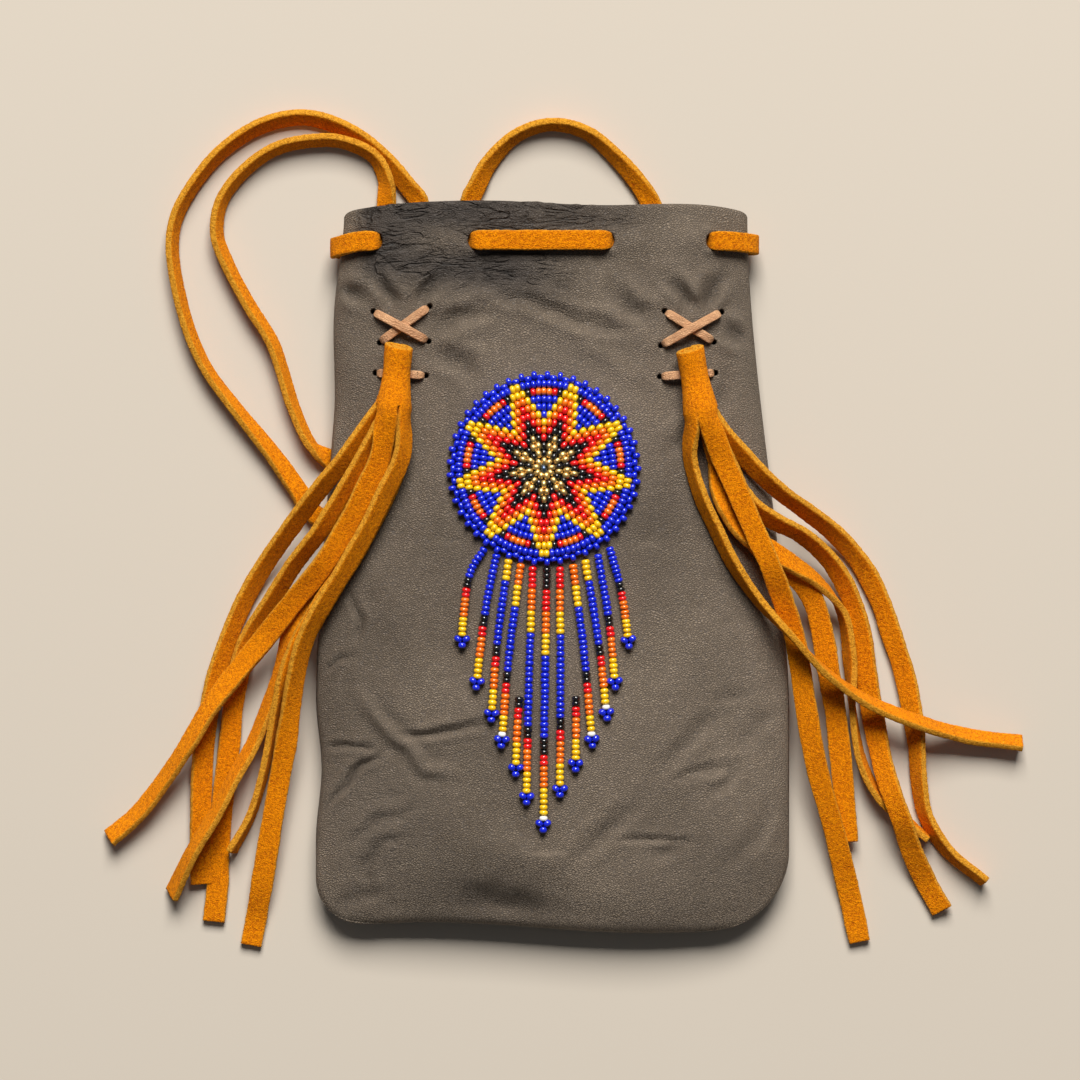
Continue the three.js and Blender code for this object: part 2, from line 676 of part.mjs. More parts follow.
// The rosette: each bead is a low point between the circles of its row, on a round backing.
function rosette() {
  const points = [];
  const faces = [];
  const add = (radius, turn, height) => points.push(onRosette(radius, turn, height)) - 1;
  const circle = (row, height) => {
    const beads = ARMS * Math.max(1, row);
    const turns = Array.from({ length: beads }, (_, bead) => rowTurn(Math.max(1, row), bead - 0.5));
    return turns.map((turn) => add((row + 0.5) * ROW_PITCH, turn, height));
  };
  const middle = add(0, 0, BACKING + BEAD_RISE);
  let inner = circle(0, BACKING);
  inner.forEach((corner, i) => faces.push(middle, corner, inner[(i + 1) % inner.length]));
  for (let row = 1; row <= ROWS; row += 1) {
    const outer = circle(row, BACKING);
    const beads = outer.length;
    const shift = (row % 2 ? 0 : -0.5) / beads - ((row - 1) % 2 || row === 1 ? 0 : -0.5) / inner.length;
    const near = (bead) => {
      const place = Math.round((bead / beads + shift) * inner.length + 1e-6);
      return inner[(place + inner.length) % inner.length];
    };
    for (let bead = 0; bead < beads; bead += 1) {
      const apex = add(row * ROW_PITCH, rowTurn(row, bead), BACKING + BEAD_RISE);
      const [a, b] = [near(bead), near(bead + 1)];
      const [d, c] = [outer[bead], outer[(bead + 1) % beads]];
      faces.push(apex, c, b, apex, d, c, apex, a, d);
      if (a !== b) faces.push(apex, b, a);
    }
    inner = outer;
  }
  const rim = circle(ROWS, 0);
  const under = add(0, 0, 0);
  rim.forEach((corner, i) => {
    const next = (i + 1) % rim.length;
    faces.push(corner, rim[next], inner[next], corner, inner[next], inner[i], under, rim[next], corner);
  });
  const geometry = new THREE.BufferGeometry().setFromPoints(points);
  geometry.setIndex(faces);
  return geometryOf(solid(geometry));
}

// The row of stand-out beads round the rosette: a ring pinched between its beads.
function edging() {
  const inner = (ROWS + 0.5) * ROW_PITCH + CLEARANCE;
  const profile = [
    new THREE.Vector2(inner, 0),
    new THREE.Vector2(inner + EDGING_WIDTH, 0),
    new THREE.Vector2(inner + EDGING_WIDTH / 2, EDGING_HEIGHT),
    new THREE.Vector2(inner, 0),
  ];
  const ring = new THREE.LatheGeometry(profile, EDGING_STEPS);
  return warp(ring, (point) => {
    const radius = Math.hypot(point.x, point.z);
    const turn = Math.atan2(point.z, point.x);
    const pinched = Math.round((turn / (2 * Math.PI)) * EDGING_STEPS) % 2 !== 0;
    const pinch = pinched && radius > inner + CLEARANCE ? EDGING_PINCH : 0;
    const height = pinched ? PINCHED_HEIGHT * point.y : point.y;
    point.copy(onRosette(radius - pinch, -turn, height));
  });
}

// Bead strands: the plan route of each.
const STRANDS = [
  [[-18.8, 4.9], [-22.7, -1.6], [-24.8, -14.6], [-25.2, -22.8]],
  [[-15.5, 3.3], [-18.7, -12.6], [-21.3, -34.5]],
  [[-12.2, 1.8], [-15.2, -20], [-17.1, -43.4]],
  [[-8.8, 0.6], [-12, -24], [-14.3, -50.7]],
  [[-5.5, -0.2], [-6.6, -33], [-7.3, -66.4]],
  [[-1.6, -0.5], [-2.2, -37], [-2.6, -74]],
  [[2, -0.3], [2.2, -32], [2, -64.3]],
  [[5.6, 0.5], [8.8, -25], [11.1, -50.6]],
  [[9, 1.7], [12.6, -20], [15.2, -43.1]],
  [[12.5, 3.2], [15.6, -15], [17.5, -34.5]],
  [[15.8, 5.2], [19.2, -8], [21.3, -23]],
  [[-9.3, -36.3], [-9.9, -47], [-10.3, -58.5]],
  [[6.4, -36.1], [6.5, -47], [6.3, -57.2]],
];

// A strand: a turned row of beads with three together at its end, laid along its route on the front.
function beadStrand(route) {
  const path = new THREE.CatmullRomCurve3(route.map(([x, y]) => new THREE.Vector3(x, y, 0)), false, "centripetal");
  const length = path.getLength();
  const count = Math.round(length / (BUMP_BEADS * BEAD_PITCH));
  const step = length / (count + 0.5);
  const profile = [new THREE.Vector2(0, 0)];
  for (let bead = 0; bead < count; bead += 1) {
    const wide = bead === count - 2;
    profile.push(new THREE.Vector2(wide ? TREFOIL_RADIUS : BEAD_RADIUS, (bead + 0.5) * step));
    if (bead < count - 1) profile.push(new THREE.Vector2(THREAD_RADIUS, (bead + 1) * step));
  }
  profile.push(new THREE.Vector2(0, (count + 0.2) * step));
  const turned = new THREE.LatheGeometry(profile, 3);
  return warp(turned, (point) => {
    const share = clamp(point.y / length, 0, 1);
    const foot = path.getPointAt(share);
    const ahead = path.getTangentAt(share);
    const radius = Math.hypot(point.x, point.z);
    const turn = radius > 1e-6 ? Math.atan2(point.x, point.z) : 0;
    const out = radius * Math.sin(turn);
    const up = Math.min(radius, BEAD_RADIUS) * Math.cos(turn);
    const x = foot.x + out * ahead.y;
    const y = foot.y - out * ahead.x;
    point.set(x, y, frontHeight(foot.x, foot.y) + CLEARANCE + BEAD_RADIUS / 2 + up);
  });
}

// Materials
const leather = () => new THREE.MeshStandardMaterial({ color: 0x605a52, roughness: 0.7, metalness: 0 });
const suede = () => new THREE.MeshStandardMaterial({ color: 0xd98a12, roughness: 0.95, metalness: 0 });
const tan = () => new THREE.MeshStandardMaterial({ color: 0xb08464, roughness: 0.7, metalness: 0 });
const glass = () => new THREE.MeshStandardMaterial({ color: 0x1432cd, roughness: 0.15, metalness: 0 });

const group = new THREE.Group();
function piece(name, geometry, material) {
  const mesh = new THREE.Mesh(geometry, material);
  mesh.name = name;
  group.add(mesh);
}

// Leather panels with their holes
const frontFaces = (outer) => ({
  inset: outer ? 0 : LEATHER,
  height: (x, y) => frontHeight(x, y, outer ? 0 : LEATHER),
});
const backFaces = (inner) => ({
  inset: inner ? BACK_RIM : 0,
  height: (x, y) => backHeight(x, y, inner),
});
const laceSlot = (x) => slot(x, LACE_Y, 2 * SLOT_REACH, LACE_WIDTH + SLOT_SPARE);
const strapSlot = (x) => slot(x, STRAP_SLOT_Y, 2 * SLOT_REACH, LACE_WIDTH + SLOT_SPARE, Math.PI / 2);
let front = solid(panel(14, 16, frontFaces));
FRONT_HOLES.forEach((x) => {
  front = front.subtract(laceSlot(x));
});
Object.values(TIES).forEach(({ holes }) => {
  const { points, inwards } = tieTurns(holes);
  points.forEach((point, i) => {
    const centre = point.clone().addScaledVector(inwards[i], -TIE_HOLE_SHIFT);
    const heading = Math.atan2(inwards[i].y, inwards[i].x);
    front = front.subtract(slot(centre.x, centre.y, TIE_HOLE, TIE_WIDTH + TIE_HOLE_SPARE, heading));
  });
});
let back = solid(panel(10, 12, backFaces));
BACK_HOLES.forEach((x) => {
  back = back.subtract(laceSlot(x));
});
STRAP_HOLES.forEach((x) => {
  back = back.subtract(strapSlot(x));
});
piece("front_panel", geometryOf(front), leather());
piece("back_panel", geometryOf(back), leather());

// Laces, ties and tassels
const lace = (route) => strip(lay(route, LACE_WIDTH, LACE_THICKNESS), LACE_WIDTH, LACE_THICKNESS);
piece("drawstring", lace(drawstringStops()), suede());
piece("carry_strap", lace(strapStops()), suede());
for (const side of ["left", "right"]) {
  const route = lay(tieStops(TIES[side]), TIE_WIDTH, TIE_THICKNESS);
  piece(`tie_lace_${side}`, strip(route, TIE_WIDTH, TIE_THICKNESS), tan());
  piece(`tassel_${side}`, tassel(side), suede());
}

// Beadwork
piece("rosette", rosette(), glass());
piece("rosette_edging", edging(), glass());
STRANDS.forEach((route, i) => {
  piece(`bead_strand_${String(i + 1).padStart(2, "0")}`, beadStrand(route), glass());
});

export default group;
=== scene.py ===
"""Dress the beaded phone pouch: leather, suede laces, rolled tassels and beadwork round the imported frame."""

from __future__ import annotations

import logging
import math
import random
from bisect import bisect_right
from dataclasses import dataclass, field
from enum import Enum
from functools import cache
from typing import Callable, ClassVar, Optional, Sequence

import bmesh
import bpy
from bmesh.types import BMEdge, BMesh, BMVert
from bpy.types import Material, Mesh, Node, NodeSocket, NodeTree, Object
from mathutils import Matrix, Vector, noise

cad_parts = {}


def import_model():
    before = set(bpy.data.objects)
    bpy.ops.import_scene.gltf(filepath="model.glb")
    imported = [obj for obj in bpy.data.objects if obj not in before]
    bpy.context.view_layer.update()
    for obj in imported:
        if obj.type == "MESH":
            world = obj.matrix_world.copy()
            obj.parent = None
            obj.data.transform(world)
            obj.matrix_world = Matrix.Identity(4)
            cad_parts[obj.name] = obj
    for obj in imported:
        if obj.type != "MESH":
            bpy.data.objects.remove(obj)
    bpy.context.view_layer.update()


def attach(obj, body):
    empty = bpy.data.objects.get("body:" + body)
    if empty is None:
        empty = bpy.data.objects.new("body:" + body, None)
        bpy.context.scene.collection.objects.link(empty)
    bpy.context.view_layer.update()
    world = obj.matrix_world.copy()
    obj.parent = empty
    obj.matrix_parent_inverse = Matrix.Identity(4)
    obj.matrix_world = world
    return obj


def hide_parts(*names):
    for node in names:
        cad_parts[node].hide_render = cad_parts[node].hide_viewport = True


LOG = logging.getLogger("beaded_pouch")
MM = 0.001
BODY = "root"
UP = Vector((0.0, 0.0, 1.0))
DOWN = Vector((0.0, 0.0, -1.0))
Height = Callable[[float, float], float]
Colour = tuple[float, float, float, float]


def clamp(value: float, low: float = 0.0, high: float = 1.0) -> float:
    """Keep a value between two limits."""
    return max(low, min(high, value))


def lerp(start: float, end: float, share: float) -> float:
    """Mix two values by a share."""
    return start + (end - start) * share


def smoothstep(value: float, low: float, high: float) -> float:
    """Ease from 0 at low to 1 at high."""
    share = clamp((value - low) / (high - low))
    return share * share * (3.0 - 2.0 * share)


def hump(at: float, middle: float, reach: float) -> float:
    """Give a smooth hump of height 1 at a middle, gone at its reach."""
    return 1.0 - smoothstep(abs(at - middle), 0.0, reach)


def ripple(x: float, y: float, layer: float) -> float:
    """Give a smooth wandering value over a plane, from about -1 to 1, another for each layer."""
    return noise.noise(Vector((x, y, layer)))


def side_of(x: float) -> int:
    """Give -1 on the left half and 1 on the right half."""
    return -1 if x < 0 else 1


class BeadColour(Enum):
    """Colours of the seed beads."""

    BLUE = "b"
    BLACK = "k"
    RED = "r"
    ORANGE = "o"
    YELLOW = "y"
    WHITE = "w"
    GOLD = "g"
    STEEL = "s"


@dataclass(frozen=True)
class PouchForm:
    """Form of the lying pouch in millimetres, as its solids have it."""

    length: float = 203.0
    mouth_width: float = 113.0
    mouth_shift: float = 1.9
    base_width: float = 132.6
    hip_height: float = 56.5
    left_corner: float = 14.0
    right_corner: float = 21.0
    leather: float = 1.4
    clearance: float = 0.3
    seam_height: float = 7.5
    front_rise: float = 10.7
    front_roll: float = 45.0
    back_flat: float = 26.0
    back_roll: float = 30.0
    back_rim: float = 3.4
    mouth_drop: float = 2.8
    left_bulge: float = 2.0
    bulge_from_mouth: float = 29.5
    bulge_reach: float = 30.0
    left_tuck: float = 1.6
    tuck_below_hip: float = 12.0
    tuck_reach: float = 20.0
    bottom_wave: float = 1.5
    wave_middle: float = 27.0
    wave_length: float = 125.0
    mouth_lift: float = 3.3
    lift_start: float = 38.0
    lift_end: float = 14.0
    lace_from_mouth: float = 11.2
    shoulder: float = 8.0
    drape_reach: float = 30.0

    @property
    def mouth_y(self) -> float:
        """Place of the mouth's edge."""
        return self.length / 2

    @property
    def bottom_y(self) -> float:
        """Place of the bottom's edge."""
        return -self.length / 2

    @property
    def hip_y(self) -> float:
        """Place where the pouch is widest."""
        return self.bottom_y + self.hip_height

    @property
    def lace_y(self) -> float:
        """Line of the lacing holes."""
        return self.mouth_y - self.lace_from_mouth

    def half_width(self, y: float, side: int, inset: float = 0.0) -> float:
        """Measure half the pouch's width.

        Args:
            y: Place along the pouch.
            side: -1 for the left, 1 for the right.
            inset: How far inside the edge to measure.

        Returns:
            The half width in millimetres.
        """
        grown = smoothstep(-y, -self.mouth_y, -self.hip_y)
        mouth_half = self.mouth_width / 2 - side * self.mouth_shift
        corner = (self.left_corner if side < 0 else self.right_corner) - inset
        below = self.bottom_y + inset + corner - y
        tuck = corner - math.sqrt(max(0.0, corner**2 - below**2)) if below > 0 else 0.0
        bulge = self.left_bulge * hump(y, self.mouth_y - self.bulge_from_mouth, self.bulge_reach)
        bulge -= self.left_tuck * hump(y, self.hip_y - self.tuck_below_hip, self.tuck_reach)
        return lerp(mouth_half, self.base_width / 2, grown) + (bulge if side < 0 else 0.0) - tuck - inset

    def edge_x(self, y: float, side: int) -> float:
        """Give the place of a side edge at y."""
        return side * self.half_width(y, side)

    @staticmethod
    def dome(share: float) -> float:
        """Give the full round section of the filled front, 1 in its middle and 0 at its edge."""
        return (1.0 - min(1.0, share) ** 2.6) ** 0.45

    @staticmethod
    def folds(x: float, y: float) -> float:
        """Give the soft large folds of the front.

        Args:
            x: Place across the pouch.
            y: Place along the pouch.

        Returns:
            The change of height in millimetres.
        """
        left = hump(x + 0.5 * y, -51, 9) * hump(y, -15, 40)
        right = hump(x - 0.4 * y, 49, 9) * hump(y, -22, 36)
        mouth = hump(y + 0.12 * x, 78, 5) * hump(x, -18, 26)
        return 0.8 * left + 0.8 * right - 0.7 * mouth

    def front_height(self, x: float, y: float, inset: float = 0.0) -> float:
        """Measure the front's height.

        Args:
            x: Place across the pouch.
            y: Place along the pouch.
            inset: 0 for the outer face, the leather's thickness for the inner one.

        Returns:
            The height over the table in millimetres.
        """
        across = abs(x) / self.half_width(y, side_of(x), inset)
        down = clamp(1.0 - (y - self.bottom_y - inset) / self.front_roll)
        rise = self.front_rise - inset + self.folds(x, y)
        return self.seam_height + self.clearance / 2 + rise * self.dome(across) * self.dome(down)

    def back_height(self, x: float, y: float, inner: bool = False) -> float:
        """Measure the back's height.

        Args:
            x: Place across the pouch.
            y: Place along the pouch.
            inner: True for the face toward the phone.

        Returns:
            The height over the table in millimetres.
        """
        inset = self.back_rim if inner else 0.0
        half = self.half_width(y, side_of(x), inset)
        lift = self.mouth_lift * smoothstep(y, self.lace_y - self.lift_start, self.lace_y - self.lift_end)
        base = lift + (self.leather if inner else 0.0)
        across = clamp((abs(x) - self.back_flat) / (half - self.back_flat)) ** 2
        down = clamp(1.0 - (y - self.bottom_y - inset) / self.back_roll) ** 2
        return base + (self.seam_height - self.clearance / 2 - base) * (1.0 - (1.0 - across) * (1.0 - down))

    def drape_height(self, x: float, y: float) -> float:
        """Measure the surface on which a thong lies: the front, its side edge, then the table.

        Args:
            x: Place across the pouch.
            y: Place along the pouch.

        Returns:
            The height in millimetres.
        """
        side = side_of(x)
        shoulder = self.half_width(y, side) - self.shoulder
        past = abs(x) - shoulder
        if past <= 0:
            return self.front_height(x, y)
        return self.front_height(side * shoulder, y) * (1.0 - smoothstep(past, 0, self.drape_reach))

    def front_middle(self, x: float, y: float) -> float:
        """Give the mid-height of the front's leather."""
        return (self.front_height(x, y) + self.front_height(x, y, self.leather)) / 2

    def back_middle(self, x: float, y: float) -> float:
        """Give the mid-height of the back's leather."""
        return (self.back_height(x, y) + self.back_height(x, y, True)) / 2

    def plan(self, across: float, share: float) -> tuple[float, float, float]:
        """Place a point of a panel in plan.

        Args:
            across: -1 at the left edge, 1 at the right edge.
            share: 0 at the bottom edge, 1 at the mouth.

        Returns:
            x, y and the y at which heights are read.
        """
        y = lerp(self.bottom_y, self.mouth_y, share)
        x = across * self.half_width(y, side_of(across))
        turn = 2 * math.pi * (x - self.wave_middle) / self.wave_length
        wave = -self.bottom_wave * math.cos(turn) * (1 - share)
        drop = self.mouth_drop * across**4 * share**4
        return x, y + wave - drop, y


FORM = PouchForm()


@dataclass(frozen=True)
class Surface:
    """What a strip lies on (side 1) or under (side -1)."""

    height: Height
    side: int = 1


LACE_SLACK = 0.5
ON_FRONT = Surface(FORM.front_height)
IN_FRONT = Surface(lambda x, y: FORM.front_height(x, y, FORM.leather) - LACE_SLACK, -1)
IN_BACK = Surface(lambda x, y: FORM.back_height(x, y, True))
ON_TABLE = Surface(lambda x, y: 0.0)
DRAPED = Surface(FORM.drape_height)


@dataclass
class Stop:
    """A point of a strip's route, on a surface or with a height and a face of its own."""

    x: float
    y: float
    on: Optional[Surface] = None
    tilt: float = 0.0
    lift: float = 0.0
    z: Optional[float] = None
    face: Optional[Vector] = None


@dataclass(frozen=True)
class Lace:
    """Section of a flat lace in millimetres."""

    width: float
    thickness: float

    def seat(self, stop: Stop, right: Vector) -> float:
        """Find the height at which the lace just clears what it lies on or under.

        Args:
            stop: The point of the route.
            right: The level direction to the right of the way the lace runs.

        Returns:
            The height of the lace's middle.
        """
        turn = math.radians(stop.tilt)
        heights = []
        for face in (-self.thickness / 2, self.thickness / 2):
            for edge in (-self.width / 2, 0.0, self.width / 2):
                out = face * math.sin(turn) + edge * math.cos(turn)
                up = face * math.cos(turn) - edge * math.sin(turn)
                heights.append(stop.on.height(stop.x + out * right.x, stop.y + out * right.y) - up)
        touch = max(heights) if stop.on.side > 0 else min(heights)
        return touch + stop.on.side * FORM.clearance + stop.lift

    def lay(self, stops: Sequence[Stop]) -> "StripPath":
        """Lay the lace along its stops and give its path.

        Args:
            stops: The lace's stops in order.

        Returns:
            The path of the lace's middle.
        """
        places, faces = [], []
        for i, stop in enumerate(stops):
            before, after = stops[max(0, i - 1)], stops[min(len(stops) - 1, i + 1)]
            right = Vector((after.y - before.y, before.x - after.x, 0.0)).normalized()
            turn = math.radians(stop.tilt)
            tilted = UP * math.cos(turn) + right * math.sin(turn)
            z = stop.z if stop.z is not None else self.seat(stop, right)
            places.append(Vector((stop.x, stop.y, z)))
            faces.append(stop.face if stop.face is not None else tilted)
        return StripPath(places, faces)


SUEDE_LACE = Lace(width=5.5, thickness=2.0)
THONG = Lace(width=6.0, thickness=1.9)
TIE_LACE = Lace(width=2.4, thickness=1.2)


@dataclass(frozen=True)
class PathFrame:
    """A place on a strip's path with the ways its length, face and width run."""

    at: Vector
    along: Vector
    face: Vector
    across: Vector


class StripPath:
    """A smooth centripetal curve through places, with the way the strip's face looks at each."""

    def __init__(self, places: Sequence[Vector], faces: Sequence[Vector]) -> None:
        """Keep the places and measure the curve.

        Args:
            places: Points that the strip passes through, in millimetres.
            faces: The way the strip's face looks at each point.
        """
        self.places = list(places)
        self.faces = list(faces)
        self._marks = [0.0]
        self._runs = [0.0]
        fine = 12 * (len(self.places) - 1)
        last = self.point(0.0)
        for i in range(1, fine + 1):
            here = self.point(i / fine)
            self._marks.append(i / fine)
            self._runs.append(self._runs[-1] + (here - last).length)
            last = here

    @property
    def length(self) -> float:
        """Length of the curve in millimetres."""
        return self._runs[-1]

    def _span(self, mark: float) -> tuple[int, float]:
        """Find the span in which a mark lies and how far along the span it is.

        Args:
            mark: The mark.

        Returns:
            The number of the span and the share of it before the mark.
        """
        spans = len(self.places) - 1
        span = min(spans - 1, int(mark * spans))
        return span, mark * spans - span

    def point(self, mark: float) -> Vector:
        """Give the point at a mark from 0 to 1, counted evenly over the spans.

        Args:
            mark: The mark.

        Returns:
            The point in millimetres.
        """
        places = self.places
        span, share = self._span(mark)
        b, c = places[span], places[span + 1]
        a = places[span - 1] if span > 0 else b * 2 - c
        d = places[span + 2] if span + 2 < len(places) else c * 2 - b
        knots = [max(1e-4, (q - p).length ** 0.5) for p, q in ((a, b), (b, c), (c, d))]
        start = ((b - a) / knots[0] - (c - a) / (knots[0] + knots[1]) + (c - b) / knots[1]) * knots[1]
        end = ((c - b) / knots[1] - (d - b) / (knots[1] + knots[2]) + (d - c) / knots[2]) * knots[1]
        s2, s3 = share * share, share**3
        return (
            b * (2 * s3 - 3 * s2 + 1)
            + start * (s3 - 2 * s2 + share)
            + c * (-2 * s3 + 3 * s2)
            + end * (s3 - s2)
        )

    def mark_at(self, share: float) -> float:
        """Find the mark at a share of the curve's length.

        Args:
            share: Share of the length, from 0 to 1.

        Returns:
            The mark from 0 to 1.
        """
        target = clamp(share) * self.length
        high = min(bisect_right(self._runs, target), len(self._runs) - 1)
        low = high - 1
        part = (target - self._runs[low]) / max(1e-9, self._runs[high] - self._runs[low])
        return lerp(self._marks[low], self._marks[high], part)

    def run_near(self, place: Vector) -> float:
        """Find how far along the curve it passes nearest a place in plan."""
        gaps = [(self.point(mark).xy - place.xy).length for mark in self._marks]
        return self._runs[gaps.index(min(gaps))]

    def frame_at(self, share: float) -> PathFrame:
        """Give the strip's frame at a share of its length.

        Args:
            share: Share of the length, from 0 to 1.

        Returns:
            The frame.
        """
        mark = self.mark_at(share)
        step = 0.1 / (len(self.places) - 1)
        along = (self.point(min(1.0, mark + step)) - self.point(max(0.0, mark - step))).normalized()
        span, part = self._span(mark)
        face = self.faces[span].lerp(self.faces[span + 1], part)
        face = (face - along * face.dot(along)).normalized()
        return PathFrame(self.point(mark), along, face, along.cross(face))

    def metres(self, step: float = 2.0) -> list[tuple[float, float, float]]:
        """List points along the curve in metres."""
        count = max(2, round(self.length / step))
        return [tuple(self.point(self.mark_at(i / count)) * MM) for i in range(count + 1)]


@dataclass(frozen=True)
class RibbonCut:
    """How a strip is cut and worn, in millimetres."""

    step: float = 0.5
    rounding: float = 0.42
    cross: int = 8
    ragged: float = 0.05
    nap: float = 0.11
    pinches: tuple = ()
    pinch_reach: float = 3.0
    pinch_share: float = 0.25
    curl_radius: float = 0.0
    curl_fade: float = 9.0
    uncut: float = 0.0

    def spread(self, frame: PathFrame, run: float, aside: float) -> float:
        """Give the width at a place against the strip's usual width.

        Args:
            frame: The strip's frame there.
            run: Distance from the strip's start.
            aside: Place across it.

        Returns:
            The share of the usual width.
        """
        wander = self.ragged * noise.noise(frame.at * 0.11)
        wander += 0.4 * self.ragged * noise.noise(frame.at * 0.6 + frame.across * aside)
        narrow = max((hump(run, mark, self.pinch_reach) for mark in self.pinches), default=0.0)
        return (1.0 + wander) * (1.0 - self.pinch_share * narrow)

    def curled(self, run: float, aside: float, out: float) -> tuple[float, float]:
        """Curl the strip's section where it is still part of a roll.

        Args:
            run: Distance from the strip's start.
            aside: Place across the strip.
            out: Place through its thickness.

        Returns:
            The place across and the place out after the curl.
        """
        left = 0.0
        if self.curl_radius:
            left = 1.0 - smoothstep(run, 0.5 * self.curl_fade, 1.6 * self.curl_fade)
        if left < 0.02:
            return aside, out
        radius = self.curl_radius / left
        turn = aside / radius
        return (radius + out) * math.sin(turn), (radius + out) * math.cos(turn) - radius


class Workshop:
    """Shared ways of making meshes into finished pieces."""

    @staticmethod
    def to_mesh(bm: BMesh, name: str) -> Mesh:
        """Turn a bmesh into a mesh, and free it.

        Args:
            bm: The bmesh, which is freed.
            name: Its name.

        Returns:
            The mesh.
        """
        mesh = bpy.data.meshes.new(name)
        bm.to_mesh(mesh)
        bm.free()
        return mesh

    @staticmethod
    def place(bm: BMesh, name: str, material: Material) -> Object:
        """Put a bmesh into the scene as an object of one material, and free it.

        Args:
            bm: The bmesh, which is freed.
            name: Its name.
            material: Its finish.

        Returns:
            The object.
        """
        made = bpy.data.objects.new(name, Workshop.to_mesh(bm, name))
        bpy.context.collection.objects.link(made)
        made.data.materials.append(material)
        return made

    @staticmethod
    def finish(bm: BMesh, name: str, material: Material, slot: str) -> Object:
        """Turn a mesh in millimetres into a piece in metres that rides with the pouch.

        Args:
            bm: The mesh, which is freed.
            name: Name of the piece.
            material: Its finish.
            slot: Not used.

        Returns:
            The piece.
        """
        bmesh.ops.scale(bm, vec=(MM, MM, MM), verts=bm.verts)
        for face in bm.faces:
            face.smooth = True
        piece = Workshop.place(bm, name, material)
        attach(piece, BODY)
        LOG.info("%s: %d faces", name, len(piece.data.polygons))
        return piece

    @staticmethod
    def runs(bm: BMesh) -> list[BMEdge]:
        """Find the edges that run the whole length of a unit bar."""
        return [edge for edge in bm.edges if abs(edge.verts[0].co.x - edge.verts[1].co.x) > 0.5]

    @staticmethod
    def ribbon(bm: BMesh, path: StripPath, lace: Lace, cut: RibbonCut) -> None:
        """Add a flat strip with eased edges along a path.

        Args:
            bm: The mesh that takes the strip.
            path: The path of the strip's middle.
            lace: The strip's section.
            cut: How the strip is cut and worn.
        """
        part = bmesh.new()
        bmesh.ops.create_cube(part, size=1.0)
        bmesh.ops.scale(part, vec=(1.0, lace.width, lace.thickness), verts=part.verts)
        bmesh.ops.bevel(part, geom=Workshop.runs(part), offset=cut.rounding, segments=2, profile=0.5,
                        affect="EDGES", material=-1)
        broad = [e for e in part.edges if abs(e.verts[0].co.y - e.verts[1].co.y) > 0.5 * lace.width]
        bmesh.ops.subdivide_edges(part, edges=broad, cuts=cut.cross - 1, use_grid_fill=True)
        rings = max(4, round(path.length / cut.step))
        bmesh.ops.subdivide_edges(part, edges=Workshop.runs(part), cuts=rings - 1, use_grid_fill=True)
        part.normal_update()
        marks = part.faces.layers.float.new("cut_side")
        for face in part.faces:
            start = (face.calc_center_median().x + 0.5) * path.length
            bare = smoothstep(start, cut.uncut - 2.0, cut.uncut + 2.0) if cut.uncut else 1.0
            side = clamp(1.4 * abs(face.normal.y) - 0.2)
            face[marks] = bare * (side if abs(face.normal.x) < 0.5 else 1.0)
        frames = [path.frame_at(i / rings) for i in range(rings + 1)]
        for vert in part.verts:
            ring = round((vert.co.x + 0.5) * rings)
            frame = frames[ring]
            run = ring / rings * path.length
            spread = cut.spread(frame, run, vert.co.y)
            aside, out = cut.curled(run, vert.co.y * spread, vert.co.z)
            vert.co = frame.at + frame.face * out - frame.across * aside
        if cut.nap:
            part.normal_update()
            Workshop.roughen(part, cut.nap, 1.5, 3.7, 0.8)
        Workshop.append(bm, part)

    @staticmethod
    def roughen(part: BMesh, amount: float, coarse: float, fine: float, share: float) -> None:
        """Push a surface in and out by coarse lumps and a share of fine ones.

        Args:
            part: The mesh.
            amount: Height of the lumps.
            coarse: How close the coarse lumps lie.
            fine: How close the fine lumps lie.
            share: Height of the fine lumps against the coarse ones.
        """
        for vert in part.verts:
            lump = noise.noise(vert.co * coarse) + share * noise.noise(vert.co * fine)
            vert.co += vert.normal * (amount * lump)

    @staticmethod
    def append(bm: BMesh, part: BMesh) -> None:
        """Add one mesh to another with its attributes, and free it.

        Args:
            bm: The mesh that takes the other.
            part: The other, which is freed.
        """
        carrier = Workshop.to_mesh(part, "carrier")
        bm.from_mesh(carrier)
        bpy.data.meshes.remove(carrier)


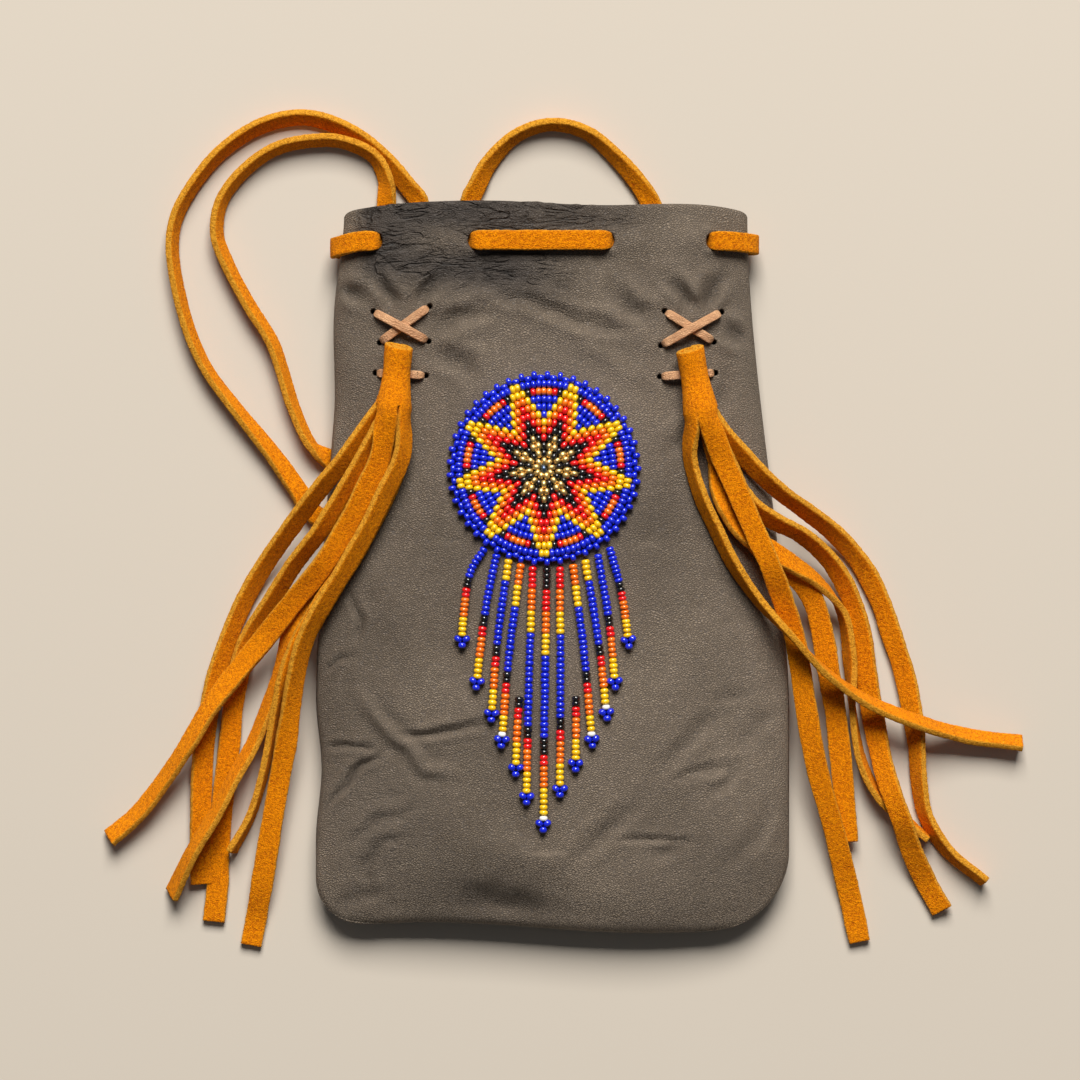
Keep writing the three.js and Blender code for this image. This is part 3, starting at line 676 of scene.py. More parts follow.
class NodeBoard:
    """A material's node tree with short ways to add and link nodes."""

    def __init__(self, tree: NodeTree) -> None:
        """Keep the tree."""
        self.tree = tree

    def feed(self, node: Node, inputs: dict) -> None:
        """Link each socket, or set each value, that is given for a node's inputs by name or index.

        Args:
            node: The node.
            inputs: Socket name or index to a value or a socket.
        """
        for name, value in inputs.items():
            if isinstance(value, NodeSocket):
                self.tree.links.new(value, node.inputs[name])
            else:
                node.inputs[name].default_value = value

    def add(self, kind: str, inputs: Optional[dict] = None, **settings: object) -> Node:
        """Add a node.

        Args:
            kind: The node's type, without the ShaderNode prefix.
            inputs: Socket name or index to a value, or to a socket that is linked to it.
            settings: Properties of the node.

        Returns:
            The node.
        """
        node = self.tree.nodes.new("ShaderNode" + kind)
        for name, value in settings.items():
            setattr(node, name, value)
        self.feed(node, inputs or {})
        return node

    def place(self) -> NodeSocket:
        """Give the place on the piece."""
        return self.add("TexCoord").outputs["Object"]

    def mark(self, name: str) -> NodeSocket:
        """Give a value that is stored on the mesh."""
        return self.add("Attribute", attribute_name=name).outputs["Fac"]

    def noise(self, vector: NodeSocket, scale: object, detail: float = 2.0, rough: float = 0.5) -> NodeSocket:
        """Add a noise field and give its value."""
        inputs = {"Vector": vector, "Scale": scale, "Detail": detail, "Roughness": rough}
        return self.add("TexNoise", inputs).outputs["Fac"]

    def ramp(self, value: NodeSocket, low: float, high: float, start: float = 0.0,
             end: float = 1.0) -> NodeSocket:
        """Map a value from one range to another, held at its ends."""
        inputs = {"Value": value, "From Min": low, "From Max": high, "To Min": start, "To Max": end}
        return self.add("MapRange", inputs).outputs["Result"]

    def mix(self, share: object, first: object, second: object) -> NodeSocket:
        """Mix two colours by a share.

        Args:
            share: Share of the second colour.
            first: The first colour.
            second: The second colour.

        Returns:
            The mixed colour.
        """
        node = self.add("Mix", data_type="RGBA")
        self.feed(node, {0: share, 6: first, 7: second})
        return node.outputs[2]

    def math(self, operation: str, first: object, second: object = 0.0) -> NodeSocket:
        """Combine two values."""
        return self.add("Math", {0: first, 1: second}, operation=operation).outputs[0]

    def times(self, first: object, second: object) -> NodeSocket:
        """Multiply two values."""
        return self.math("MULTIPLY", first, second)


def colour(red: int, green: int, blue: int) -> Colour:
    """Turn a display colour of 0 to 255 into a linear one.

    Args:
        red: Red from 0 to 255.
        green: Green from 0 to 255.
        blue: Blue from 0 to 255.

    Returns:
        The linear colour, opaque.
    """
    linear = []
    for part in (red, green, blue):
        level = part / 255
        linear.append(level / 12.92 if level <= 0.04045 else ((level + 0.055) / 1.055) ** 2.4)
    return (*linear, 1.0)


class EffectGroups:
    """Node groups that several finishes share, each made once."""

    @staticmethod
    def _start(name: str, inputs: Sequence[str], outputs: Sequence[str]) -> tuple[NodeBoard, Node, Node]:
        """Make a group with value sockets and give its board, input and output nodes.

        Args:
            name: The group's name.
            inputs: Names of its inputs.
            outputs: Names of its outputs.

        Returns:
            The board, the input node and the output node.
        """
        tree = bpy.data.node_groups.new(name, "ShaderNodeTree")
        for way, labels in (("INPUT", inputs), ("OUTPUT", outputs)):
            for label in labels:
                tree.interface.new_socket(label, in_out=way, socket_type="NodeSocketFloat")
        return NodeBoard(tree), tree.nodes.new("NodeGroupInput"), tree.nodes.new("NodeGroupOutput")

    @staticmethod
    @cache
    def patches() -> NodeTree:
        """Give the group of soft patches: a Mask that drifts over the surface at a Scale.

        Returns:
            The group's tree.
        """
        board, source, sink = EffectGroups._start("SoftPatches", ["Scale"], ["Mask"])
        drift = board.noise(board.place(), source.outputs["Scale"], 3.0, 0.55)
        board.feed(sink, {"Mask": board.ramp(drift, 0.3, 0.7)})
        return board.tree

    @staticmethod
    @cache
    def hide_grain() -> NodeTree:
        """Give the group of leather grain: pebbles at a Scale with a Height and a Crease mask of the crevices
        between them, which finishes darken as painted shade.

        Returns:
            The group's tree.
        """
        board, source, sink = EffectGroups._start("HideGrain", ["Scale"], ["Height", "Crease"])
        place = board.place()
        warp = board.add("TexNoise", {"Vector": place, "Scale": 260.0, "Detail": 2.0})
        sway = {0: warp.outputs["Color"], 1: (0.0016, 0.0016, 0.0016), 2: place}
        bent = board.add("VectorMath", sway, operation="MULTIPLY_ADD").outputs[0]
        stretch = {"Vector": bent, "Rotation": (0.0, 0.0, 0.5), "Scale": (0.75, 1.25, 1.0)}
        cell = {"Vector": board.add("Mapping", stretch).outputs[0], "Scale": source.outputs["Scale"]}
        edge = board.add("TexVoronoi", cell, feature="DISTANCE_TO_EDGE").outputs["Distance"]
        fine = board.times(board.noise(place, 3400.0, 2.0, 0.6), 0.6)
        height = board.math("ADD", board.ramp(edge, 0.0, 0.3), fine)
        board.feed(sink, {"Height": height, "Crease": board.ramp(edge, 0.0, 0.16, 1.0, 0.0)})
        return board.tree

    @staticmethod
    @cache
    def dry_cracks() -> NodeTree:
        """Give the group of dry leather: long level cracks at a Scale as a Mask that comes and goes.

        Returns:
            The group's tree.
        """
        board, source, sink = EffectGroups._start("DryCracks", ["Scale"], ["Mask"])
        place = board.place()
        stretch = {"Vector": place, "Rotation": (0.0, 0.0, 0.06), "Scale": (0.3, 1.0, 1.0)}
        drawn = board.add("Mapping", stretch).outputs[0]
        wave = {"Vector": drawn, "Scale": source.outputs["Scale"], "Distortion": 0.6}
        swell = board.add("TexNoise", {**wave, "Detail": 3.0, "Roughness": 0.55}).outputs["Fac"]
        level = board.math("ABSOLUTE", board.math("SUBTRACT", swell, 0.5))
        line = board.ramp(level, 0.0, 0.045, 1.0, 0.0)
        kept = board.ramp(board.noise(place, 130.0, 2.0, 0.5), 0.34, 0.5)
        board.feed(sink, {"Mask": board.times(line, kept)})
        return board.tree

    @staticmethod
    @cache
    def nap() -> NodeTree:
        """Give the group of suede nap: brushed fibres with a Height and a Tone.

        Returns:
            The group's tree.
        """
        board, _, sink = EffectGroups._start("SuedeNap", [], ["Height", "Tone"])
        place = board.place()
        coarse = board.times(board.noise(place, 1200.0, 2.0, 0.6), 0.4)
        fine = board.times(board.noise(place, 3300.0, 2.0, 0.6), 0.6)
        speckle = board.math("ADD", coarse, fine)
        board.feed(sink, {"Height": speckle, "Tone": board.ramp(speckle, 0.37, 0.61)})
        return board.tree


@dataclass(frozen=True)
class Finish:
    """A surface finish that can be made into a material."""

    name: str

    def _board(self) -> tuple[Material, NodeBoard, Node]:
        """Make an empty material and give it with its board and its shader.

        Returns:
            The material, its board and its shader.
        """
        material = bpy.data.materials.new(self.name)
        material.use_nodes = True
        material.node_tree.nodes.clear()
        board = NodeBoard(material.node_tree)
        shader = board.add("BsdfPrincipled")
        board.add("OutputMaterial", {0: shader.outputs[0]})
        return material, board, shader

    @staticmethod
    def group(board: NodeBoard, tree: NodeTree, **inputs: float) -> Node:
        """Place a shared group in a material with its own values.

        Args:
            board: The material's board.
            tree: The group's tree.
            inputs: Its values by name.

        Returns:
            The group's node.
        """
        node = board.add("Group", node_tree=tree)
        board.feed(node, inputs)
        return node

    @staticmethod
    def patches(board: NodeBoard, scale: float) -> NodeSocket:
        """Place the soft patches at a scale and give their mask."""
        return Finish.group(board, EffectGroups.patches(), Scale=scale).outputs["Mask"]

    @staticmethod
    def relief(board: NodeBoard, shader: Node, height: NodeSocket, strength: float, distance: float) -> None:
        """Feed a height to the shader's normal."""
        bump = board.add("Bump", {"Height": height, "Strength": strength, "Distance": distance})
        board.feed(shader, {"Normal": bump.outputs[0]})


@dataclass(frozen=True)
class HideFinish(Finish):
    """Soft pebbled leather, dry and cracked where it is worn, with painted shade in its grain, creases,
    cracks, folds and holes.
    """

    base: Colour = colour(142, 126, 108)
    shade: Colour = colour(108, 95, 80)
    pale: Colour = colour(164, 150, 134)
    # Darker tone of dry worn leather, and painted shade in the grain's crevices.
    dry_and_grain_shade: Colour = colour(64, 58, 54)
    # Painted shade along creases and cracks and in fold valleys and holes.
    dark: Colour = colour(20, 15, 12)
    grain: float = 1800.0
    clouds: float = 22.0
    flecks: float = 140.0
    long_cracks: float = 165.0
    short_cracks: float = 400.0
    line_wander: float = 1.6
    line_half: float = 0.5
    line_relief: float = 4.5
    roughness: float = 0.56

    def lines(self, board: NodeBoard, worn: NodeSocket) -> NodeSocket:
        """Paint shade in thin lines along the creases, and along the cracks where the leather is worn.

        Args:
            board: The material's board.
            worn: Where the leather is worn.

        Returns:
            The mask of the painted shade lines.
        """
        sway = board.math("SUBTRACT", board.noise(board.place(), 350.0), 0.5)
        off = board.math("ADD", board.mark("crease_off"), board.times(sway, self.line_wander))
        near = board.ramp(board.math("ABSOLUTE", off), 0.0, self.line_half, 1.0, 0.0)
        # Painted shade along each crease line, as strong as its mark.
        creases = board.times(near, board.mark("crease_pull"))
        long, short = (
            self.group(board, EffectGroups.dry_cracks(), Scale=scale).outputs["Mask"]
            for scale in (self.long_cracks, self.short_cracks)
        )
        # Painted shade along the cracks, only where the leather is worn.
        cracks = board.math("MAXIMUM", long, board.times(short, 0.45))
        return board.math("MAXIMUM", creases, board.times(cracks, worn))

    def material(self) -> Material:
        """Make the leather's material.

        Returns:
            The material.
        """
        material, board, shader = self._board()
        flecks = self.patches(board, self.flecks)
        grain = self.group(board, EffectGroups.hide_grain(), Scale=self.grain)
        worn = board.mark("crackle")
        line = self.lines(board, worn)
        # Painted shade in the fold valleys and the holes of the front.
        fold_shade = board.math("MINIMUM", board.times(board.mark("fold_and_pit_shade"), 0.36), 1.0)
        tone = board.mix(self.patches(board, self.clouds), self.shade, self.base)
        layers = (
            (flecks, 0.1, self.pale),
            # Painted shade in the grain's crevices between the pebbles.
            (grain.outputs["Crease"], 0.85, self.dry_and_grain_shade),
            (worn, 0.86, self.dry_and_grain_shade),
            # Painted shade along crease and crack lines.
            (line, 0.58, self.dark),
        )
        for mask, share, tint in layers:
            tone = board.mix(board.times(mask, share), tone, tint)
        tone = board.mix(fold_shade, tone, self.dark)
        rough = board.ramp(flecks, 0.0, 1.0, self.roughness - 0.06, self.roughness + 0.1)
        board.feed(shader, {"Base Color": tone, "Roughness": rough, "Specular IOR Level": 0.32})
        height = board.math("SUBTRACT", grain.outputs["Height"], board.times(line, self.line_relief))
        self.relief(board, shader, height, 1.0, 0.0002)
        return material


@dataclass(frozen=True)
class SuedeFinish(Finish):
    """Napped suede with paler cut sides."""

    deep: Colour = colour(174, 76, 0)
    base: Colour = colour(255, 154, 4)
    cut: Colour = colour(244, 174, 52)
    cut_deep: Colour = colour(172, 102, 16)
    sheen: Colour = colour(255, 190, 80)

    def material(self) -> Material:
        """Make the suede's material.

        Returns:
            The material.
        """
        material, board, shader = self._board()
        nap = self.group(board, EffectGroups.nap())
        brushed = nap.outputs["Tone"]
        face = board.mix(brushed, self.deep, self.base)
        face = board.mix(board.times(self.patches(board, 120.0), 0.2), face, self.base)
        tone = board.mix(board.mark("cut_side"), face, board.mix(brushed, self.cut_deep, self.cut))
        board.feed(shader, {"Base Color": tone, "Roughness": board.ramp(brushed, 0.0, 1.0, 0.86, 1.0)})
        board.feed(shader, {"Specular IOR Level": 0.1, "Sheen Weight": 0.15})
        board.feed(shader, {"Sheen Roughness": 0.5, "Sheen Tint": self.sheen})
        self.relief(board, shader, nap.outputs["Height"], 1.0, 0.0009)
        return material


@dataclass(frozen=True)
class TieFinish(Finish):
    """Smooth tan lace leather, with painted shade in its grain's crevices."""

    base: Colour = colour(228, 178, 132)
    # Darker tone of the patches, and painted shade in the grain's crevices.
    shade: Colour = colour(180, 128, 88)

    def material(self) -> Material:
        """Make the tie leather's material.

        Returns:
            The material.
        """
        material, board, shader = self._board()
        grain = self.group(board, EffectGroups.hide_grain(), Scale=1600.0)
        patches = self.patches(board, 300.0)
        tone = board.mix(patches, self.shade, self.base)
        # Painted shade in the grain's crevices between the pebbles.
        tone = board.mix(board.times(grain.outputs["Crease"], 0.7), tone, self.shade)
        board.feed(shader, {"Base Color": tone, "Roughness": board.ramp(patches, 0.0, 1.0, 0.6, 0.75)})
        self.relief(board, shader, grain.outputs["Height"], 0.8, 0.0002)
        return material


@dataclass(frozen=True)
class BeadFinish(Finish):
    """Glossy seed beads of one colour, each a little lighter or darker."""

    base: Colour
    metallic: float = 0.0
    roughness: float = 0.2

    @cache
    def material(self) -> Material:
        """Make the beads' material, once for each finish.

        Returns:
            The material.
        """
        material, board, shader = self._board()
        patches = self.patches(board, 900.0)
        dark = tuple(0.88 * part for part in self.base[:3]) + (1.0,)
        pale = tuple(min(1.0, 1.18 * part + 0.012) for part in self.base[:3]) + (1.0,)
        tone = board.mix(board.mark("bead_tone"), dark, pale)
        tone = board.mix(board.times(patches, 0.25), tone, self.base)
        rough = board.ramp(patches, 0.0, 1.0, self.roughness - 0.05, self.roughness + 0.1)
        board.feed(shader, {"Base Color": tone, "Roughness": rough, "Metallic": self.metallic, "IOR": 1.6})
        board.feed(shader, {"Coat Weight": 0.6, "Coat Roughness": 0.16})
        return material


BEAD_FINISHES = {
    BeadColour.BLUE: BeadFinish("bead_blue", colour(3, 32, 205)),
    BeadColour.BLACK: BeadFinish("bead_black", colour(11, 8, 9), roughness=0.12),
    BeadColour.RED: BeadFinish("bead_red", colour(228, 8, 12)),
    BeadColour.ORANGE: BeadFinish("bead_orange", colour(255, 114, 0)),
    BeadColour.YELLOW: BeadFinish("bead_yellow", colour(255, 194, 0)),
    BeadColour.WHITE: BeadFinish("bead_white", colour(250, 248, 244)),
    BeadColour.GOLD: BeadFinish("bead_gold", colour(240, 200, 124), metallic=0.9, roughness=0.4),
    BeadColour.STEEL: BeadFinish("bead_steel", colour(84, 104, 132), metallic=0.9, roughness=0.34),
}
NO_CREASE = (0.0, 9.0, 0.0)


@dataclass(frozen=True)
class Crease:
    """A soft valley with raised lips along a line of points, in millimetres, with a thin line of painted shade
    along the valley.
    """

    points: tuple
    width: float
    depth: float
    lip: float = 0.45
    # Strength of the painted shade line along the valley.
    sharp: float = 0.28

    def near(self, x: float, y: float) -> tuple[float, float, int]:
        """Find a point's distance from the line, where along the line it is nearest, and its side.

        Args:
            x: Place across the pouch.
            y: Place along the pouch.

        Returns:
            The distance, the place along the line from 0 to 1, and 1 or -1 for the side.
        """
        best, place, side = 1e9, 0.0, 1
        pairs = list(zip(self.points, self.points[1:]))
        for i, ((ax, ay), (bx, by)) in enumerate(pairs):
            run_x, run_y = bx - ax, by - ay
            share = clamp(((x - ax) * run_x + (y - ay) * run_y) / (run_x**2 + run_y**2))
            off = math.hypot(x - ax - share * run_x, y - ay - share * run_y)
            if off < best:
                best, place = off, (i + share) / len(pairs)
                side = 1 if run_x * (y - ay) - run_y * (x - ax) > 0 else -1
        return best, place, side

    def at(self, x: float, y: float) -> tuple[float, float, float]:
        """Work out the crease at a point.

        Args:
            x: Place across the pouch.
            y: Place along the pouch.

        Returns:
            Its depth, above 0 in the valley and below 0 on its lips, the signed distance to its line and how
            strongly shade is painted along the line there.
        """
        reach = 4 * self.width
        for at, way in ((x, 0), (y, 1)):
            marks = [point[way] for point in self.points]
            if not min(marks) - reach < at < max(marks) + reach:
                return NO_CREASE
        off, place, side = self.near(x, y)
        if off > reach:
            return NO_CREASE
        fade = math.sin(math.pi * clamp(place, 0.03, 0.97)) ** 0.6
        valley = math.exp(-((off / self.width) ** 2))
        lips = self.lip * math.exp(-(((off - 2 * self.width) / (0.9 * self.width)) ** 2))
        drawn = self.sharp * fade * (1 - smoothstep(off, 1.5, 2.6)) if self.depth > 0 else 0.0
        return self.depth * fade * (valley - lips), off * side, drawn


@dataclass
class LeatherShell:
    """The two leather panels of the pouch."""

    columns: int = 166
    rows: int = 240
    tie_hole: float = 0.65
    slot_start: float = 2.6
    slot_end: float = 1.5
    slot_half: float = 2.35
    pit_depth: float = 4.0
    # Strength of the painted shade in the holes.
    pit_shade: float = 2.9
    lip_ridge: float = 0.9
    lip_rim: float = 0.8
    crease_gain: float = 1.5
    crease_wander: float = 1.5
    soft_waves: float = 1.25
    fine_waves: float = 0.22
    back_waves: float = 0.25
    creases: tuple = (
        Crease(((-54, -36), (-48, -44), (-41, -50), (-35, -56), (-28, -57)), 1.7, -0.9),
        Crease(((-42, -47.5), (-34, -47), (-17, -43.4)), 1.1, 0.8),
        Crease(((-65, -51.7), (-57.5, -50), (-49, -50)), 0.9, 0.6),
        Crease(((-63.4, -67), (-58.7, -62.3), (-52.8, -55.2), (-47.4, -51.7)), 1.0, 0.8),
        Crease(((-56.3, -8), (-53.4, -15), (-53.9, -21)), 1.0, 0.7),
        Crease(((-64, -30), (-60, -26), (-56, -25)), 0.9, 0.5),
        Crease(((-57, -77), (-49, -71), (-38, -67)), 1.3, 0.45, 0.4, 0.15),
        Crease(((-54, -84), (-47, -77), (-41, -75)), 1.4, 0.4, 0.4, 0.1),
        Crease(((-52, -90), (-52, -83), (-47, -79)), 1.6, 0.35, 0.4, 0.05),
        Crease(((-60, -96), (-53, -92), (-47, -91)), 1.8, 0.4, 0.4, 0.03),
        Crease(((-28, -91), (-20, -94), (-10, -95), (0, -97)), 4.6, 1.6, 0.1, 0.0),
        Crease(((-20, -78), (-6, -81), (8, -80)), 5.5, -1.1, 0.1),
        Crease(((5, -84), (14.5, -74), (23, -66)), 2.2, 0.7, 0.4, 0.05),
        Crease(((33, -60), (43, -57.2), (51.3, -54.5)), 1.3, 0.45, 0.4, 0.15),
        Crease(((42, -65), (48, -61), (52, -55)), 1.6, 0.5, 0.4, 0.05),
        Crease(((18, -76), (30, -76), (39, -77)), 1.1, 0.5, 0.4, 0.2),
        Crease(((27, -81.5), (37, -78)), 1.5, 0.4, 0.4, 0.05),
        Crease(((30, -57), (37, -49), (46, -41)), 2.2, 0.6, 0.4, 0.03),
        Crease(((44, -37.5), (54, -35)), 1.6, 0.35, 0.4, 0.05),
        Crease(((52, -50), (57, -44), (61, -42)), 1.9, 0.4, 0.4, 0.03),
        Crease(((48, -84), (56, -76), (61, -66)), 2.2, 0.45, 0.4, 0.03),
        Crease(((-18, 77), (-5, 73), (8.5, 67.6), (27, 65)), 1.7, 0.7, 0.7, 0.2),
        Crease(((4, 60), (13, 53), (25, 46)), 2.4, 0.6, 0.6, 0.1),
        Crease(((49, 52), (42, 38), (30, 30)), 2.6, 0.7, 0.6, 0.1),
        Crease(((-50, 81), (-46, 76), (-43.5, 72)), 1.8, 1.3, 0.7, 0.1),
        Crease(((-53, 74.5), (-59, 78)), 1.8, 1.0, 0.7, 0.05),
        Crease(((-30, 81), (-35, 76), (-38.5, 72)), 1.8, 1.1, 0.7, 0.1),
        Crease(((-33, 66), (-26, 69), (-18, 71)), 2.2, 0.9, 0.7, 0.05),
        Crease(((-33, 60), (-25, 56), (-20, 50)), 2.4, 0.8, 0.6, 0.05),
        Crease(((32, 80), (36, 75), (37.5, 72)), 1.8, 1.1, 0.7, 0.1),
        Crease(((48, 81), (44, 76), (41.5, 72)), 1.8, 1.1, 0.7, 0.1),
        Crease(((29, 67), (22, 71), (16, 76)), 2.2, 1.0, 0.7, 0.05),
        Crease(((47, 66), (54, 63)), 2.0, 1.0, 0.7, 0.05),
    )

    @staticmethod
    def calm(x: float, y: float) -> float:
        """Give 0 under the beadwork, where the leather lies smooth, and 1 away from it.

        Args:
            x: Place across the pouch.
            y: Place along the pouch.

        Returns:
            The share of the folds that shows there.
        """
        rosette = smoothstep(math.hypot(x - Rosette.x, y - Rosette.y), 28, 36)
        reach = 27.0 * clamp(1 - (2.0 - y) / 84.0)
        fringe = smoothstep(abs(x + 1.0), reach, reach + 7) if -80 < y < 6 else 1.0
        return min(rosette, fringe)

    @staticmethod
    def heavy(x: float, y: float) -> float:
        """Mark the stiff cracked leather, from 0 to 1: the top left, and a little of the bottom left.

        Args:
            x: Place across the pouch.
            y: Place along the pouch.

        Returns:
            How stiff and cracked the leather is, from 0 to 1.
        """
        lower = smoothstep(y + 0.12 * x, 69, 79) * (1 - smoothstep(x, -12, 14))
        rim = 0.75 * smoothstep(y, FORM.lace_y + 1, FORM.lace_y + 5) * (1 - smoothstep(x, 6, 36))
        smooth = 1 - 0.7 * hump(y, FORM.lace_y, 7) * hump(x, -29, 17)
        mouth = max(lower, rim) * smooth * smoothstep(x, -58, -50)
        corner = 0.3 * hump(x, -48, 20) * hump(y, -72, 26)
        return max(mouth, corner)

    def relief(self, x: float, y: float) -> tuple[float, float, float, float]:
        """Work out the fine folds of the front.

        Args:
            x: Place across the pouch.
            y: Place along the pouch.

        Returns:
            The change of height, the depth of the folds from 0 to 1 that is painted as shade, the distance to
            the nearest crease line and how strongly shade is painted along it.
        """
        bend_x = x + self.crease_wander * ripple(x * 0.13, y * 0.13, 2.0)
        bend_y = y + self.crease_wander * ripple(x * 0.13, y * 0.13, 9.0)
        drift = self.soft_waves * ripple(x / 24, y / 30, 3.1) - 0.3
        fine = self.fine_waves * ripple(x / 7, y / 7, 5.5)
        ridge = ripple(bend_x * 0.07, bend_y * 0.26, 1.7)
        small = ripple(bend_x * 0.16, bend_y * 0.5, 6.3)
        wrinkle = self.heavy(x, y) * (0.6 * (1 - abs(ridge)) ** 6 + 0.3 * (1 - abs(small)) ** 5 - 0.2)
        depth, near, drawn = wrinkle, NO_CREASE[1], 0.0
        calm = self.calm(x, y)
        for crease in self.creases:
            fall, off, sharp = crease.at(bend_x, bend_y)
            depth += self.crease_gain * fall
            if sharp > drawn:
                near, drawn = off, sharp
        return (drift + fine - depth) * calm, clamp(0.6 * depth * calm), near, drawn * calm

    def lips(self, x: float, y: float) -> float:
        """Give the swell of the leather over each lace that runs in behind it.

        Args:
            x: Place across the pouch.
            y: Place along the pouch.

        Returns:
            The height in millimetres.
        """
        swell = 0.0
        off = y - FORM.lace_y
        for hole, way in zip(Laces.front_holes, Laces.front_ways):
            run = (x - hole) * way
            if -4 < run < 16:
                ridge = math.exp(-((off / 3.6) ** 2)) * smoothstep(run, -1.5, 1.5)
                ridge *= 1 - smoothstep(run, 5, 15)
                rim = math.exp(-(((abs(off) - 3.0) / 1.3) ** 2)) * hump(run, 0.4, 3.4)
                swell += self.lip_ridge * ridge + self.lip_rim * rim
        return swell

    @staticmethod
    def tie_holes() -> list[tuple[float, float]]:
        """List the small holes of both ties."""
        return [hole for tie in (TIE_LEFT, TIE_RIGHT) for hole in tie.holes]

    def pit(self, x: float, y: float) -> float:
        """Give 1 inside a hole of the front and 0 outside it.

        Args:
            x: Place across the pouch.
            y: Place along the pouch.

        Returns:
            The share from 0 to 1.
        """
        gaps = [math.hypot(x - hole_x, y - hole_y) - self.tie_hole for hole_x, hole_y in self.tie_holes()]
        for hole, way in zip(Laces.front_holes, Laces.front_ways):
            run = (x - hole) * way
            past = max(0.0, run - self.slot_end + self.slot_half, -self.slot_start - run)
            gaps.append(math.hypot(past, y - FORM.lace_y) - self.slot_half)
        return 1 - smoothstep(min(gaps), -0.35, 0.25)

    def near_hole(self, edge: BMEdge) -> bool:
        """Tell whether an edge of the flat sheet lies by a hole, where the sheet is cut finer.

        Args:
            edge: The edge.

        Returns:
            True where it lies by a hole.
        """
        x, y, _ = self.plan(edge.verts[0].co)
        slots = any(abs(x - hole) < 5 and abs(y - FORM.lace_y) < 6 for hole in Laces.front_holes)
        return slots or any(math.hypot(x - hole[0], y - hole[1]) < 2.6 for hole in self.tie_holes())

    @staticmethod
    def plan(flat: Vector) -> tuple[float, float, float]:
        """Place a point of the flat sheet, from -1 to 1 both ways, in plan.

        Args:
            flat: The point of the flat sheet.

        Returns:
            x, y and the y at which heights are read.
        """
        share = (flat.y + 1) / 2
        across = 0.55 * flat.x + 0.45 * math.sin(flat.x * math.pi / 2)
        x, y, level = FORM.plan(across, 0.6 * share + 0.4 * (1 - math.cos(share * math.pi / 2)))
        sag = 1.3 * hump(x, 14, 34) * share**8 + 1.2 * abs(across) ** 60 * share**60
        return x, y - sag, level

    def panel(self, front: bool) -> BMesh:
        """Bend a sheet to a panel's outer face.

        Args:
            front: True for the front, False for the back.

        Returns:
            The sheet.
        """
        bm = bmesh.new()
        columns, rows = (self.columns, self.rows) if front else (self.columns // 2, self.rows // 2)
        bmesh.ops.create_grid(bm, x_segments=columns, y_segments=rows, size=1.0)
        if front:
            fine = [edge for edge in bm.edges if self.near_hole(edge)]
            bmesh.ops.subdivide_edges(bm, edges=fine, cuts=2, use_grid_fill=True)
        marks = [bm.verts.layers.float.new(name)
                 for name in ("fold_and_pit_shade", "crackle", "crease_off", "crease_pull")]
        for vert in bm.verts:
            flat = vert.co.copy()
            x, y, level = self.plan(flat)
            if not front:
                wave = self.back_waves * ripple(x / 25, y / 25, 8.0) * smoothstep(abs(x), 20, 40)
                vert.co = Vector((x, y, FORM.back_height(x, level) + max(0.0, wave)))
                continue
            rise, depth, near, drawn = self.relief(x, y)
            ease = smoothstep(1 - abs(flat.x), 0.0, 0.12) * smoothstep(flat.y + 1, 0.0, 0.1)
            pit = self.pit(x, y)
            rise = (rise + self.lips(x, y)) * ease * (1 - pit) - self.pit_depth * pit
            vert.co = Vector((x, y, FORM.front_height(x, level) + rise))
            # Fold valleys and holes carry painted shade, and crease lines a thin line of painted shade.
            values = (max(depth, self.pit_shade * pit), self.heavy(x, y), near, drawn * (1 - pit))
            for mark, value in zip(marks, values):
                vert[mark] = value
        if not front:
            bmesh.ops.reverse_faces(bm, faces=bm.faces)
        return bm

    def build(self) -> None:
        """Make both panels as closed leather sheets."""
        hide = HideFinish("pouch_hide").material()
        for side in ("front", "back"):
            piece = Workshop.finish(self.panel(side == "front"), f"{side}_leather", hide, "pouch_leather")
            wall = piece.modifiers.new("leather", "SOLIDIFY")
            wall.thickness = FORM.leather * MM
            wall.offset = -1.0
            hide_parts(f"{side}_panel")


